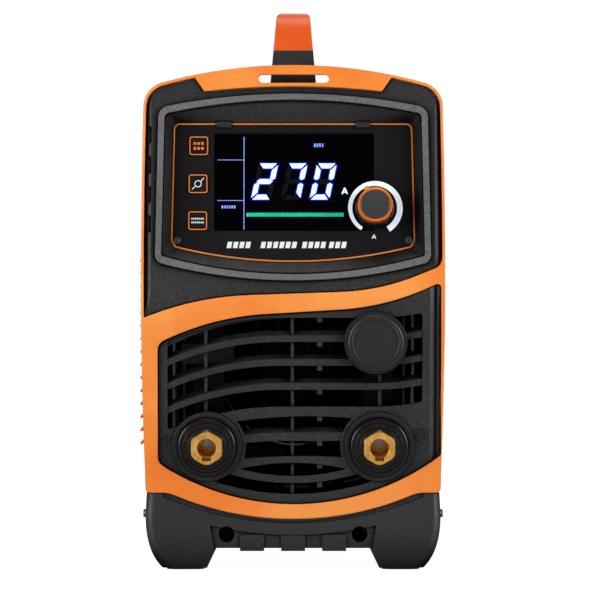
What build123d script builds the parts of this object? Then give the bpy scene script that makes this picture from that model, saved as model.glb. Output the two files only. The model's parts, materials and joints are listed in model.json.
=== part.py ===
from build123d import *
import math
import os

# Stick welding inverter, in millimetres.
# +Z is up, the front faces -Y, and the origin is on the floor under the middle of the machine.

os.makedirs("parts", exist_ok=True)

# ---------------------------------------------------------------- driving dimensions
FACE_Y = -218.95              # foremost line of the front frame
REAR_FACE_Y = 212.0           # back of the rear frame
FRAME_BACK_Y = -165.0         # where the front frame meets the casing
REAR_FRAME_FRONT_Y = 165.0
KNEE_LOW = 172.0              # the front leans back above and below these two heights
KNEE_HIGH = 188.0
TILT_UP = 7.5                 # lean of the upper panel, in degrees
TILT_DOWN = 4.0               # lean of the grille panel, in degrees
KNEE_RADIUS = 110.0

FRAME_HALF_WIDTH = 104.7
SHOULDER_HEIGHT = 333.8
CROWN_HEIGHT = 349.8
FRAME_WALL = 1.8
FRAME_SKIN = 4.0
PANEL_GAP = 0.8               # seam between the frame and the black panels
FIT_GAP = 0.3                 # clearance between pieces that move

SHEET = 1.5
COVER_HALF_WIDTH = 102.2
COVER_TOP = 333.0
COVER_BOTTOM = 19.5

SOCKET_X = 59.5
SOCKET_HEIGHT = 85.5
PIN_BORE_RADIUS = 6.6
PIN_BORE_DEPTH = 30.0

CAP_X = 57.1
CAP_HEIGHT = 157.4

DECK_HEIGHT = 200.0
FAN_HEIGHT = 128.0
FAN_SIZE = 120.0


def lean(degrees):
    return math.tan(math.radians(degrees))


def rise(height):
    """Distance up the leaning upper panel, from the knee, for a height above the floor."""
    return (height - KNEE_HIGH) / math.cos(math.radians(TILT_UP))


# The upper panel and the grille panel each have a plane: x is to the right, y is up the panel.
UPPER = Plane(origin=(0, FACE_Y, KNEE_HIGH), x_dir=(1, 0, 0),
              z_dir=(0, -math.cos(math.radians(TILT_UP)), math.sin(math.radians(TILT_UP))))
LOWER = Plane(origin=(0, FACE_Y + KNEE_LOW * lean(TILT_DOWN), 0), x_dir=(1, 0, 0),
              z_dir=(0, -math.cos(math.radians(TILT_DOWN)), -math.sin(math.radians(TILT_DOWN))))

PLATE_DEPTH = 9.0             # control plate, behind the face of the upper panel
PLATE = UPPER.offset(-PLATE_DEPTH)
GRILLE_DEPTH = 2.5            # grille panel, behind the face of the frame
GRILLE = LOWER.offset(-GRILLE_DEPTH)
REAR = Plane(origin=(0, REAR_FACE_Y - 6.0, 0), x_dir=(-1, 0, 0), z_dir=(0, 1, 0))


def finish(builder, name):
    builder.part.label = name
    export_step(builder.part, f"parts/{name}.step")


def box(x0, x1, y0, y1, z0, z1, mode=Mode.ADD):
    """A box between three pairs of limits, added to the part being built."""
    with Locations(((x0 + x1) / 2, (y0 + y1) / 2, (z0 + z1) / 2)):
        Box(x1 - x0, y1 - y0, z1 - z0, mode=mode)


def plate_layer(sketch, plane, thickness, mode=Mode.ADD):
    """Extrude a flat outline backwards from a plane, in the part being built."""
    extrude(plane * sketch, amount=-thickness, mode=mode)


# ---------------------------------------------------------------- shapes of the front
def front_points(gap):
    """The frame's side profile from bottom to top, set back by a gap."""
    low, high = 20.0, 360.0
    return [(FACE_Y + gap + (KNEE_LOW - low) * lean(TILT_DOWN), low),
            (FACE_Y + gap, KNEE_LOW),
            (FACE_Y + gap, KNEE_HIGH),
            (FACE_Y + gap + (high - KNEE_HIGH) * lean(TILT_UP), high)]


def slab(front_gap, back_y, mode):
    """Everything between the convex front, set back by a gap, and a flat back."""
    with BuildSketch(Plane.YZ) as profile:
        with BuildLine():
            front = FilletPolyline(*front_points(front_gap), radius=KNEE_RADIUS)
            Polyline(front @ 1, (back_y, (front @ 1).Y), (back_y, (front @ 0).Y), front @ 0)
        make_face()
    extrude(profile.sketch, amount=150, both=True, mode=mode)


def skin(front_gap, thickness, mode):
    """A layer of even thickness that follows the convex front."""
    with BuildSketch(Plane.YZ) as profile:
        with BuildLine():
            front = FilletPolyline(*front_points(front_gap), radius=KNEE_RADIUS)
            back = FilletPolyline(*front_points(front_gap + thickness), radius=KNEE_RADIUS)
            Line(front @ 0, back @ 0)
            Line(front @ 1, back @ 1)
        make_face()
    extrude(profile.sketch, amount=150, both=True, mode=mode)


def swoosh(left_end, left_knee, right_knee, right_end):
    """An S-shaped band edge: an arc down to the left, a straight middle, an arc up to the right."""
    middle = Line(left_knee, right_knee)
    TangentArc(left_knee, left_end, tangent=(middle % 0) * -1)
    TangentArc(right_knee, right_end, tangent=middle % 1)


def frame_shape(inset):
    """The front frame's outline, drawn in by an inset."""
    foot, shoulder = 101.9 - inset, 103.5 - inset
    floor, dip, ledge = 53.5 + inset, 35.2 + inset, 86.0 - inset / 5
    height = SHOULDER_HEIGHT - inset
    with BuildSketch() as outline:
        with BuildLine():
            ThreePointArc((-foot, floor), (inset - FRAME_HALF_WIDTH, 175), (-shoulder, height))
            ThreePointArc((-shoulder, height), (0, CROWN_HEIGHT - inset), (shoulder, height))
            ThreePointArc((shoulder, height), (FRAME_HALF_WIDTH - inset, 175), (foot, floor))
            Line((foot, floor), (ledge, floor))
            ThreePointArc((ledge, floor), (0, dip), (-ledge, floor))
            Line((-ledge, floor), (-foot, floor))
        make_face()
        fillet(outline.vertices().filter_by(lambda v: v.Y > 300), 17.5 - inset)
        fillet(outline.vertices().filter_by(lambda v: v.Y < 65 and abs(v.X) > foot - 1), max(3 - inset, 1))
        fillet(outline.vertices().filter_by(lambda v: v.Y < 65 and abs(abs(v.X) - ledge) < 1), 24 + inset)
    return outline.sketch


def front_layer(sketch, mode=Mode.ADD):
    """Adds or takes away an outline all the way through the front frame's depth."""
    plate_layer(sketch, Plane.XZ.offset(-FRAME_BACK_Y), -80, mode)


def lip_shape(grow):
    """The lip across the top of the frame, drawn out by an amount."""
    with BuildSketch() as lip:
        with BuildLine():
            end, corner = (61.5 + grow * 0.5, 331.3 - grow), (69 + grow, 342)
            ThreePointArc((-end[0], end[1]), (0, 334.9 - grow), end)
            Polyline(end, corner, (corner[0], 356), (-corner[0], 356), (-corner[0], 342), (-end[0], end[1]))
        make_face()
    return lip.sketch


def upper_window(inset):
    """The opening that the upper black panel fills, drawn in by an inset."""
    with BuildSketch() as window:
        add(frame_shape(FRAME_WALL + inset))
        with BuildLine():
            swoosh((-102.9, 174.3 + inset), (-29.6, 190 + inset), (32.4, 192.1 + inset), (90, 205.2 + inset))
            Line((90, 205.2 + inset), (110, 213 + inset))
            Polyline((110, 213 + inset), (110, 360), (-110, 360), (-110, 174.3 + inset), (-102.9, 174.3 + inset))
        make_face(mode=Mode.INTERSECT)
        add(lip_shape(inset), mode=Mode.SUBTRACT)
        fillet(window.vertices().filter_by(lambda v: v.X > 95 and v.Y < 230), 9)
    return window.sketch


def lower_window(inset):
    """The opening that the grille panel fills, drawn in by an inset."""
    left, right = -93.4 + inset, 102.2 - inset
    with BuildSketch() as window:
        with BuildLine():
            swoosh((left, 156.5 - inset), (-19.3, 176.9 - inset), (32.4, 180 - inset), (right, 199.4 - inset))
            Line((right, 199.4 - inset), (right, 79.5 + inset))
            ThreePointArc((right, 79.5 + inset), (1.4, 45.4 + inset), (left, 74.2 + inset))
            Line((left, 74.2 + inset), (left, 156.5 - inset))
        make_face()
        fillet(window.vertices().filter_by(lambda v: v.X < -90), 7.5)
        fillet(window.vertices().filter_by(lambda v: v.X > 99), 3)
    return window.sketch


def bezel_shape(inset):
    """The barrel-shaped outline of the display's ring, on the leaning panel."""
    with BuildSketch() as outline:
        with BuildLine():
            top = ThreePointArc((inset - 93.2, 132.9 - inset), (0, 142.7 - inset), (93.2 - inset, 132.9 - inset))
            base = ThreePointArc((inset - 95.2, 25.1 + inset), (0, 12.2 + inset), (95.2 - inset, 25.1 + inset))
            Line(top @ 0, base @ 0)
            Line(top @ 1, base @ 1)
        make_face()
        fillet(outline.vertices().filter_by(lambda v: v.Y > 100), 8 - inset)
        fillet(outline.vertices().filter_by(lambda v: v.Y < 100), 6.5 - inset)
    return outline.sketch


def plate_shape(inset):
    """The outline of the control plate, on the leaning panel."""
    with BuildSketch() as outline:
        with BuildLine():
            base = ThreePointArc((inset - 82.3, 35.9 + inset), (0, 25.9 + inset), (82.3 - inset, 35.9 + inset))
            Polyline(base @ 0, (inset - 85, 40.7 + inset / 2), (inset - 83.3, 124 - inset),
                     (83.3 - inset, 124 - inset), (85 - inset, 40.7 + inset / 2), base @ 1)
        make_face()
        fillet(outline.vertices().filter_by(lambda v: v.Y > 100), 4.8 - inset)
    return outline.sketch


# ---------------------------------------------------------------- front frame
ROOF_TOP = COVER_TOP - 0.3    # the frame closes over the machine at this height, under its lip

def roof(near_y, far_y):
    """The plate across the inside of a frame, just under the top of the casing."""
    with BuildPart() as plate:
        plate_layer(frame_shape(FRAME_WALL - 0.5), Plane.XZ.offset(-far_y), near_y - far_y)
        box(-110, 110, near_y, far_y, ROOF_TOP - SHEET, ROOF_TOP, Mode.INTERSECT)
    return plate.part


with BuildPart() as lip_backing:
    front_layer(lip_shape(3.5))
    skin(FRAME_SKIN + 0.3, 1.6, Mode.INTERSECT)
    front_layer(frame_shape(FRAME_WALL - 0.5), Mode.INTERSECT)

with BuildPart() as lip_root:
    front_layer(lip_shape(0))
    skin(FRAME_SKIN - 1, 2.9, Mode.INTERSECT)
    front_layer(frame_shape(FRAME_WALL - 0.5), Mode.INTERSECT)


def side_strips(near_y, far_y):
    """Upright strips inside a frame's side walls, which close the gap around the casing."""
    with BuildPart() as strips:
        plate_layer(frame_shape(FRAME_WALL - 0.5), Plane.XZ.offset(-far_y), near_y - far_y)
        box(-99.5, 99.5, near_y, far_y, 0, 400, Mode.SUBTRACT)
        box(-110, 110, near_y, far_y, 57, 330, Mode.INTERSECT)
    return strips.part


with BuildPart() as front_frame:
    front_layer(frame_shape(0))
    slab(0, FRAME_BACK_Y, Mode.INTERSECT)
    with BuildPart(mode=Mode.PRIVATE) as frame_hollow:
        front_layer(frame_shape(FRAME_WALL))
        slab(FRAME_SKIN, FRAME_BACK_Y, Mode.INTERSECT)
    add(frame_hollow.part, mode=Mode.SUBTRACT)
    for window in (upper_window(0), lower_window(0)):
        front_layer(window, Mode.SUBTRACT)
    with BuildPart(mode=Mode.PRIVATE) as front_roof:
        add(roof(-250, FRAME_BACK_Y))
        slab(FRAME_SKIN + 0.6, FRAME_BACK_Y, Mode.INTERSECT)
    add(front_roof.part)
    add(lip_backing.part)
    add(lip_root.part)
    add(side_strips(FRAME_BACK_Y - 2.5, FRAME_BACK_Y))
    with BuildSketch(Plane.XZ.offset(-FRAME_BACK_Y)):
        with Locations((0.5, 340.2)):
            SlotOverall(49, 5.8)
    extrude(amount=80, mode=Mode.SUBTRACT)
finish(front_frame, "front_frame")

# ---------------------------------------------------------------- upper panel and display recess
BEZEL_HEIGHT = 2.2
BEZEL_WIDTH = 4.1
CLIPS = (-48.0, 48.6)          # tabs that hold the control plate along its top

with BuildPart() as display_funnel:
    with BuildSketch(UPPER.offset(0.5)):
        add(bezel_shape(BEZEL_WIDTH))
    with BuildSketch(PLATE):
        add(plate_shape(0))
    loft()

CHEEK_WIDTH = 4.2             # the upper panel falls back this far in from each side edge
CHEEK_DROP = 2.6


def cheek(plane, side, inner_x, width, drop, low, high):
    """A wedge along a panel, as deep as drop on its outer side, to cut a sloping cheek with."""
    section = Plane(origin=plane.origin + plane.y_dir * low, x_dir=(1, 0, 0), z_dir=plane.y_dir)
    with BuildSketch(section) as wedge:
        with BuildLine():
            Polyline((side * inner_x, -3), (side * inner_x, 0), (side * (inner_x + width), drop),
                     (side * (inner_x + width), -3), (side * inner_x, -3))
        make_face()
    return wedge.sketch, high - low


with BuildPart() as upper_panel:
    front_layer(upper_window(PANEL_GAP))
    skin(1.2, 3.0, Mode.INTERSECT)
    for side in (-1, 1):
        wedge, length = cheek(UPPER.offset(-1.2), side, 102.6 - CHEEK_WIDTH, CHEEK_WIDTH + 1, CHEEK_DROP, -8, 175)
        extrude(wedge, amount=length, mode=Mode.SUBTRACT)
    plate_layer(bezel_shape(1.5), UPPER.offset(-1.4), PLATE_DEPTH + 0.2)
    add(display_funnel.part, mode=Mode.SUBTRACT)
    plate_layer(plate_shape(0), PLATE.offset(0.4), 3.0, Mode.SUBTRACT)
    with BuildSketch(UPPER.offset(3)):
        with Locations(*[(-99.6, rise(height)) for height in (301.2, 280.2, 259.6, 239.4)]):
            RectangleRounded(3.4, 12, 1.5)
    extrude(amount=-5.5, mode=Mode.SUBTRACT)
    with BuildSketch(PLATE):
        with Locations(*[(x, 122.6) for x in CLIPS]):
            Rectangle(9.4, 4.0)
    extrude(amount=1.6)
finish(upper_panel, "upper_panel")

with BuildPart() as display_bezel:
    with BuildSketch(UPPER.offset(-1.1)):
        add(bezel_shape(0))
        add(bezel_shape(BEZEL_WIDTH), mode=Mode.SUBTRACT)
    extrude(amount=BEZEL_HEIGHT)
finish(display_bezel, "display_bezel")

# ---------------------------------------------------------------- control plate and its parts
BUTTON_SIZE = 13.6
BUTTON_TRAVEL = 0.6
BUTTONS = {"button_mode": (-65.5, 107.7), "button_electrode": (-65.9, 81.0), "button_settings": (-66.1, 55.1)}
KNOB_CENTRE = (56.7, 64.1)
KNOB_RADIUS = 13.75
SHAFT_RADIUS = 3.0
LCD_CENTRE = (0.7, 82.3)
LCD_SIZE = (110.4, 68.0)
PLATE_THICKNESS = 1.5
BOARD_DEPTH = 14.0            # control board, behind the face of the control plate

MODULE_CENTRE = (-8.0, 82.3)  # the pane is wider than the display behind it


def pane_shape(grow):
    """The dark pane, with a round bite taken out of it for the knob."""
    with BuildSketch() as pane:
        with Locations(LCD_CENTRE):
            Rectangle(LCD_SIZE[0] + 2 * grow, LCD_SIZE[1] + 2 * grow)
        with Locations(KNOB_CENTRE):
            Circle(KNOB_RADIUS + 1.5 - grow, mode=Mode.SUBTRACT)
    return pane.sketch


with BuildPart() as control_plate:
    with BuildSketch(PLATE):
        add(plate_shape(0.1))
        add(pane_shape(0.1), mode=Mode.SUBTRACT)
        with Locations(*BUTTONS.values()):
            RectangleRounded(BUTTON_SIZE + 2 * FIT_GAP, BUTTON_SIZE + 2 * FIT_GAP, 2, mode=Mode.SUBTRACT)
        with Locations(KNOB_CENTRE):
            Circle(SHAFT_RADIUS + 1.5, mode=Mode.SUBTRACT)
        with Locations((-80.3, 41.3), (80.3, 41.3)):
            Circle(1.6, mode=Mode.SUBTRACT)
    extrude(amount=-PLATE_THICKNESS)
finish(control_plate, "control_plate")

with BuildPart() as plate_pinstripe:
    with BuildSketch(PLATE):
        add(plate_shape(0.4))
        add(plate_shape(1.4), mode=Mode.SUBTRACT)
        with Locations(*[(x, 124) for x in CLIPS]):
            Rectangle(9.9, 5, mode=Mode.SUBTRACT)
    extrude(amount=0.25)
finish(plate_pinstripe, "plate_pinstripe")

with BuildPart() as plate_screws:
    with BuildSketch(PLATE):
        with Locations((-80.3, 41.3), (80.3, 41.3)):
            Circle(2.4)
    extrude(amount=0.9)
    fillet(plate_screws.edges().filter_by(GeomType.CIRCLE).group_by(Axis.Y)[0], 0.4)
    with BuildSketch(PLATE):
        with Locations((-80.3, 41.3), (80.3, 41.3)):
            Circle(1.5)
    extrude(amount=-5)
    with BuildSketch(PLATE.offset(0.9)):
        with Locations((-80.3, 41.3), (80.3, 41.3)):
            RegularPolygon(1.2, 6)
    extrude(amount=-0.6, mode=Mode.SUBTRACT)
finish(plate_screws, "plate_screws")

with BuildPart() as lcd_window:
    plate_layer(pane_shape(0), PLATE.offset(0.3), 2)
finish(lcd_window, "lcd_window")

with BuildPart() as lcd_module:
    with BuildSketch(PLATE.offset(-1.8)):
        with Locations(MODULE_CENTRE):
            Rectangle(90, 64)
    extrude(amount=-6)
    with BuildSketch(PLATE.offset(-7.8)):
        with Locations(*[(MODULE_CENTRE[0] + x, MODULE_CENTRE[1] + y) for x in (-42, 42) for y in (-29, 29)]):
            Circle(2)
    extrude(amount=-(BOARD_DEPTH - 7.8))
finish(lcd_module, "lcd_module")


def button(name, centre):
    """A square cap with a flange behind the plate and a stem for its switch."""
    with BuildPart() as cap:
        with BuildSketch(PLATE.offset(0.7)):
            with Locations(centre):
                RectangleRounded(BUTTON_SIZE, BUTTON_SIZE, 1.7)
        extrude(amount=-(0.7 + PLATE_THICKNESS + 0.4))
        fillet(cap.faces().sort_by(Axis.Y)[0].edges(), 0.3)
        with BuildSketch(PLATE.offset(-PLATE_THICKNESS - 0.4)):
            with Locations(centre):
                Rectangle(BUTTON_SIZE + 2.4, BUTTON_SIZE + 2.4)
        extrude(amount=-1.2)
        with BuildSketch(PLATE.offset(-PLATE_THICKNESS - 1.6)):
            with Locations(centre):
                Circle(2)
        extrude(amount=-(BOARD_DEPTH - PLATE_THICKNESS - 1.6 - 3.4 - BUTTON_TRAVEL - FIT_GAP))
    finish(cap, name)


for name, centre in BUTTONS.items():
    button(name, centre)

with BuildPart() as control_board:
    with BuildSketch(PLATE.offset(-BOARD_DEPTH)):
        with Locations((-4, 80)):
            Rectangle(152, 78)
        with Locations(KNOB_CENTRE):
            Circle(4, mode=Mode.SUBTRACT)
    extrude(amount=-1.6)
    with BuildSketch(PLATE.offset(-BOARD_DEPTH)):
        with Locations(*BUTTONS.values()):
            Rectangle(6, 6)
    extrude(amount=3.4)
finish(control_board, "control_board")

KNOB = PLATE.shift_origin(PLATE.from_local_coords((*KNOB_CENTRE, 0)))

with BuildPart() as knob_skirt:
    with BuildSketch(KNOB.offset(0.5)):
        Circle(KNOB_RADIUS)
    extrude(amount=5.0, taper=6)
    fillet(knob_skirt.edges().filter_by(GeomType.CIRCLE).sort_by(Axis.Y)[0], 0.5)
    with BuildSketch(KNOB.offset(0.5)):
        Circle(10.2)
    extrude(amount=15.5)
    with BuildSketch(KNOB.offset(0.5)):
        Circle(SHAFT_RADIUS)
    extrude(amount=12, mode=Mode.SUBTRACT)
finish(knob_skirt, "knob_skirt")

with BuildPart() as knob_sleeve:
    with BuildSketch(KNOB.offset(5.5)):
        Circle(12.0)
        Circle(10.2, mode=Mode.SUBTRACT)
    extrude(amount=11.5)
    with Locations(KNOB.offset(11)):
        with PolarLocations(12.0, 30):
            Cylinder(0.35, 11.0, mode=Mode.SUBTRACT)
    with Locations(KNOB.offset(13.8)):
        with PolarLocations(12.6, 1, start_angle=118):
            Box(2.6, 3.0, 6.4)
    with BuildSketch(KNOB.offset(5.5)):
        Circle(10.2)
    extrude(amount=11.5, mode=Mode.SUBTRACT)
finish(knob_sleeve, "knob_sleeve")

with BuildPart() as knob_face:
    with BuildSketch(KNOB.offset(16)):
        Circle(10.2)
    extrude(amount=2.4)
    fillet(knob_face.edges().filter_by(GeomType.CIRCLE).sort_by(Axis.Y)[0], 0.8)
finish(knob_face, "knob_face")

with BuildPart() as encoder_shaft:
    with BuildSketch(KNOB.offset(12.5)):
        Circle(SHAFT_RADIUS)
    extrude(amount=-22)
finish(encoder_shaft, "encoder_shaft")

with BuildPart() as encoder_body:
    with BuildSketch(KNOB.offset(-BOARD_DEPTH)):
        Rectangle(12, 12.5)
        Circle(SHAFT_RADIUS + 0.05, mode=Mode.SUBTRACT)
    extrude(amount=6.5)
    with BuildSketch(KNOB.offset(-BOARD_DEPTH + 6.5)):
        Circle(4.2)
        Circle(SHAFT_RADIUS + 0.05, mode=Mode.SUBTRACT)
    extrude(amount=6.3)
finish(encoder_body, "encoder_body")

# ---------------------------------------------------------------- grille panel
LOUVRES_TOP, LOUVRES_FOOT = 174.6, 113.0   # upper and lower edge of the largest opening, mid-width
SLATS = ((162.4, 4.6), (145.9, 4.6), (129.3, 4.6), (95.0, 5.8))   # front upper edge mid-width, and height
SLAT_REACH = 10.0             # how far a slat runs back
SLAT_DROOP = 20.0             # a slat's front edge hangs this many degrees below its back
OPENING_LEFT, OPENING_RIGHT = -86.7, 89.3
COLLAR_RADIUS = 23.2
SOCKET_CLEARANCE = 26.8       # the openings between the sockets end on circles of this radius
FLANGE_RADIUS = 20.0
CAP_BOSS_RADIUS = 21.9
RING_RADIUS = 21.4            # the ridged ring round the connector's cap
PEG_X = 18.4                  # a short peg hangs from the top of every opening here
PEG_TOPS = (174.9, 157.8, 141.3, 124.7, 106.3, 89.2, 73.5, 60.4)


def swept_edge(top):
    """A level line that falls away to the left and rises to the right; gives its two ends."""
    left, right = (-92.0, top - 19.0), (93.0, top + 4.2)
    swoosh(left, (-8, top), (56, top), right)
    return left, right


def swept_band(top, height):
    """The band between two such lines, seen from the front."""
    with BuildSketch() as band:
        with BuildLine():
            upper = swept_edge(top)
            lower = swept_edge(top - height)
            Line(upper[0], lower[0])
            Line(upper[1], lower[1])
        make_face()
    return band.sketch


with BuildSketch() as louvre_opening:
    add(swept_band(LOUVRES_TOP, LOUVRES_TOP - LOUVRES_FOOT))
    with Locations(((OPENING_LEFT + OPENING_RIGHT) / 2, (LOUVRES_TOP + LOUVRES_FOOT) / 2)):
        Rectangle(OPENING_RIGHT - OPENING_LEFT, 120, mode=Mode.INTERSECT)
    fillet(louvre_opening.vertices().filter_by(lambda v: abs(v.X) > 80), 2)
    with Locations((-SOCKET_X, SOCKET_HEIGHT), (SOCKET_X, SOCKET_HEIGHT)):
        Circle(COLLAR_RADIUS, mode=Mode.SUBTRACT)
    with Locations((CAP_X, CAP_HEIGHT)):
        Circle(CAP_BOSS_RADIUS - 0.2, mode=Mode.SUBTRACT)

with BuildSketch() as socket_gap_opening:
    with BuildLine():
        upper = ThreePointArc((-42, 102.4), (5, 106.4), (42, 104.9))
        lower = ThreePointArc((-42, 76.2), (5, 78.7), (42, 77.4))
        Line(upper @ 0, lower @ 0)
        Line(upper @ 1, lower @ 1)
    make_face()
    with Locations((-SOCKET_X, SOCKET_HEIGHT), (SOCKET_X, SOCKET_HEIGHT)):
        Circle(SOCKET_CLEARANCE, mode=Mode.SUBTRACT)

with BuildSketch() as lens_opening:
    with BuildLine():
        ThreePointArc((-37, 69.8), (0, 74.1), (37, 69.8))
        ThreePointArc((-37, 69.8), (0, 64.8), (37, 69.8))
    make_face()

with BuildSketch() as crescent_opening:
    with BuildLine():
        upper = ThreePointArc((-44, 66.3), (0, 60), (44, 66.3))
        lower = ThreePointArc((-54, 60.9), (0, 52.3), (54, 60.9))
        Line(upper @ 0, lower @ 0)
        Line(upper @ 1, lower @ 1)
    make_face()

SOCKETS = {"positive_socket": GRILLE.shift_origin(GRILLE.from_local_coords((-SOCKET_X, SOCKET_HEIGHT, 0))),
           "negative_socket": GRILLE.shift_origin(GRILLE.from_local_coords((SOCKET_X, SOCKET_HEIGHT, 0)))}
CAP = GRILLE.shift_origin(GRILLE.from_local_coords((CAP_X, CAP_HEIGHT, 0)))
SOCKET_THREAD = 15.0          # radius of a socket's body behind the panel
CONNECTOR_THREAD = 12.0

with BuildPart() as slats:
    for top, height in SLATS:
        extrude(GRILLE.offset(-0.6) * swept_band(top, height), amount=SLAT_REACH, dir=(0, 1, lean(SLAT_DROOP)))
with BuildPart() as slat_limits:
    plate_layer(louvre_opening.sketch, GRILLE, 16)
    plate_layer(socket_gap_opening.sketch, GRILLE, 16)

with BuildPart() as grille_flange:
    front_layer(lower_window(-1))
    front_layer(lower_window(PANEL_GAP + 3), Mode.SUBTRACT)
    front_layer(frame_shape(FRAME_WALL + 0.4), Mode.INTERSECT)
    skin(FRAME_SKIN + 0.3, 1.2, Mode.INTERSECT)

with BuildPart() as grille_panel:
    with BuildSketch(GRILLE):
        add(lower_window(PANEL_GAP))
        for opening in (louvre_opening, socket_gap_opening, lens_opening, crescent_opening):
            add(opening.sketch, mode=Mode.SUBTRACT)
    extrude(amount=-3)
    groove, length = cheek(GRILLE, 1, 94.5, 4.6, 2.1, 40, 230)
    extrude(groove, amount=length, mode=Mode.SUBTRACT)
    add(grille_flange.part)
    add(slats.part & slat_limits.part)
    with BuildSketch(GRILLE.offset(-0.8)):
        with Locations(*[(PEG_X, top - 1.2) for top in PEG_TOPS]):
            Rectangle(3.4, 4.4)
    extrude(amount=-5)
    with BuildSketch(GRILLE.offset(-2.5)):
        with Locations((-60.2, 140), (59.8, 140)):
            Rectangle(2, 70)
        with Locations((-0.5, 113)):
            Rectangle(2, 128)
    extrude(amount=-6.5)
    for plane in SOCKETS.values():
        with BuildSketch(plane.offset(-9)):
            Circle(COLLAR_RADIUS + 0.6)
        extrude(amount=11)
        with BuildSketch(plane.offset(2)):
            Circle(FLANGE_RADIUS + 0.4)
        extrude(amount=-3, mode=Mode.SUBTRACT)
        with BuildSketch(plane.offset(2)):
            Circle(SOCKET_THREAD + 0.1)
        extrude(amount=-12, mode=Mode.SUBTRACT)
    with BuildSketch(CAP.offset(-9)):
        Circle(CAP_BOSS_RADIUS)
    extrude(amount=9)
    with BuildSketch(CAP):
        Circle(CONNECTOR_THREAD + 0.1)
    extrude(amount=-12, mode=Mode.SUBTRACT)
finish(grille_panel, "grille_panel")

# ---------------------------------------------------------------- weld sockets
BRASS_RADIUS = 9.0
NOSE = 13.9                   # brass nose in front of the grille panel
FLANGE_THICKNESS = 7.0
SOCKET_BACK = 26.0            # end of the threaded body behind the panel

for name, plane in SOCKETS.items():
    with BuildPart() as socket_body:
        with BuildSketch(plane.offset(-1)):
            Circle(FLANGE_RADIUS)
        extrude(amount=FLANGE_THICKNESS + 1)
        fillet(socket_body.edges().filter_by(GeomType.CIRCLE).sort_by(Axis.Y)[0], 1.2)
        with BuildSketch(plane.offset(-1)):
            Circle(SOCKET_THREAD)
        extrude(amount=-(SOCKET_BACK - 1))
        for outer, inner in ((17.8, 16.6), (15.4, 13.4)):
            with BuildSketch(plane.offset(FLANGE_THICKNESS)):
                Circle(outer)
                Circle(inner, mode=Mode.SUBTRACT)
            extrude(amount=-1.6, mode=Mode.SUBTRACT)
        with BuildSketch(plane.offset(FLANGE_THICKNESS)):
            Circle(BRASS_RADIUS + 0.05)
        extrude(amount=-(FLANGE_THICKNESS + SOCKET_BACK), mode=Mode.SUBTRACT)
    finish(socket_body, name + "_body")

    with BuildPart() as socket_brass:
        with BuildSketch(plane.offset(FLANGE_THICKNESS)):
            RegularPolygon(10.6, 6, major_radius=False, rotation=30)
        extrude(amount=NOSE - FLANGE_THICKNESS)
        with BuildSketch(plane.offset(FLANGE_THICKNESS)):
            Circle(12.1)
        extrude(amount=NOSE - FLANGE_THICKNESS, taper=8, mode=Mode.INTERSECT)
        with BuildSketch(plane.offset(FLANGE_THICKNESS)):
            Circle(BRASS_RADIUS)
        extrude(amount=-(FLANGE_THICKNESS + SOCKET_BACK + 6))
        with BuildSketch(plane.offset(NOSE)):
            Circle(PIN_BORE_RADIUS)
        extrude(amount=-PIN_BORE_DEPTH, mode=Mode.SUBTRACT)
        with BuildSketch(plane.offset(NOSE)):
            with Locations((0, -PIN_BORE_RADIUS)):
                Rectangle(6.2, 4.4)
        extrude(amount=-12, mode=Mode.SUBTRACT)
        with BuildSketch(plane.offset(NOSE - PIN_BORE_DEPTH)):
            Circle(3.1)
        extrude(amount=-30, mode=Mode.SUBTRACT)
    finish(socket_brass, name + "_brass")

with BuildPart() as socket_nuts:
    for plane in SOCKETS.values():
        with BuildSketch(plane.offset(-9.4)):
            RegularPolygon(18.5, 6, major_radius=False)
            Circle(SOCKET_THREAD + 0.05, mode=Mode.SUBTRACT)
        extrude(amount=-6)
finish(socket_nuts, "socket_nuts")

with BuildPart() as socket_bolts:
    for plane in SOCKETS.values():
        back = plane.offset(-SOCKET_BACK - 6)
        with BuildSketch(plane.offset(NOSE - PIN_BORE_DEPTH)):
            Circle(3.0)
        extrude(amount=-(SOCKET_BACK + 6 + 8 + NOSE - PIN_BORE_DEPTH))
        with BuildSketch(back.offset(-3.2)):
            RegularPolygon(6.5, 6, major_radius=False)
        extrude(amount=-4.8)
finish(socket_bolts, "socket_bolts")

# ---------------------------------------------------------------- remote connector and its cap
CAP_HEIGHT_OUT = 4.7

with BuildPart() as connector_ring:
    with BuildSketch(CAP):
        Circle(RING_RADIUS)
        Circle(CONNECTOR_THREAD + 0.1, mode=Mode.SUBTRACT)
    extrude(amount=2.6)
    with Locations(CAP.offset(1.3)):
        with PolarLocations(RING_RADIUS, 40):
            Cylinder(0.6, 2.6, mode=Mode.SUBTRACT)
finish(connector_ring, "connector_ring")

with BuildPart() as connector_receptacle:
    with BuildSketch(CAP.offset(5)):
        Circle(CONNECTOR_THREAD)
    extrude(amount=-27)
    with BuildSketch(CAP.offset(5)):
        Circle(CONNECTOR_THREAD - 2)
    extrude(amount=-9, mode=Mode.SUBTRACT)
    with BuildSketch(CAP.offset(-4)):
        with PolarLocations(5.5, 5):
            Circle(1)
    extrude(amount=6)
finish(connector_receptacle, "connector_receptacle")

with BuildPart() as connector_cap:
    with BuildSketch(CAP.offset(2.6 + FIT_GAP)):
        Circle(FLANGE_RADIUS - 0.6)
    extrude(amount=CAP_HEIGHT_OUT)
    fillet(connector_cap.edges().filter_by(GeomType.CIRCLE).sort_by(Axis.Y)[0], 1.4)
    with BuildSketch(CAP.offset(2.6 + FIT_GAP)):
        Circle(CONNECTOR_THREAD + 0.4)
    extrude(amount=2.6, mode=Mode.SUBTRACT)
    with BuildSketch(CAP.offset(2.6 + FIT_GAP + CAP_HEIGHT_OUT)):
        Circle(16.7)
        Circle(15.5, mode=Mode.SUBTRACT)
    extrude(amount=0.8)
finish(connector_cap, "connector_cap")

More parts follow.
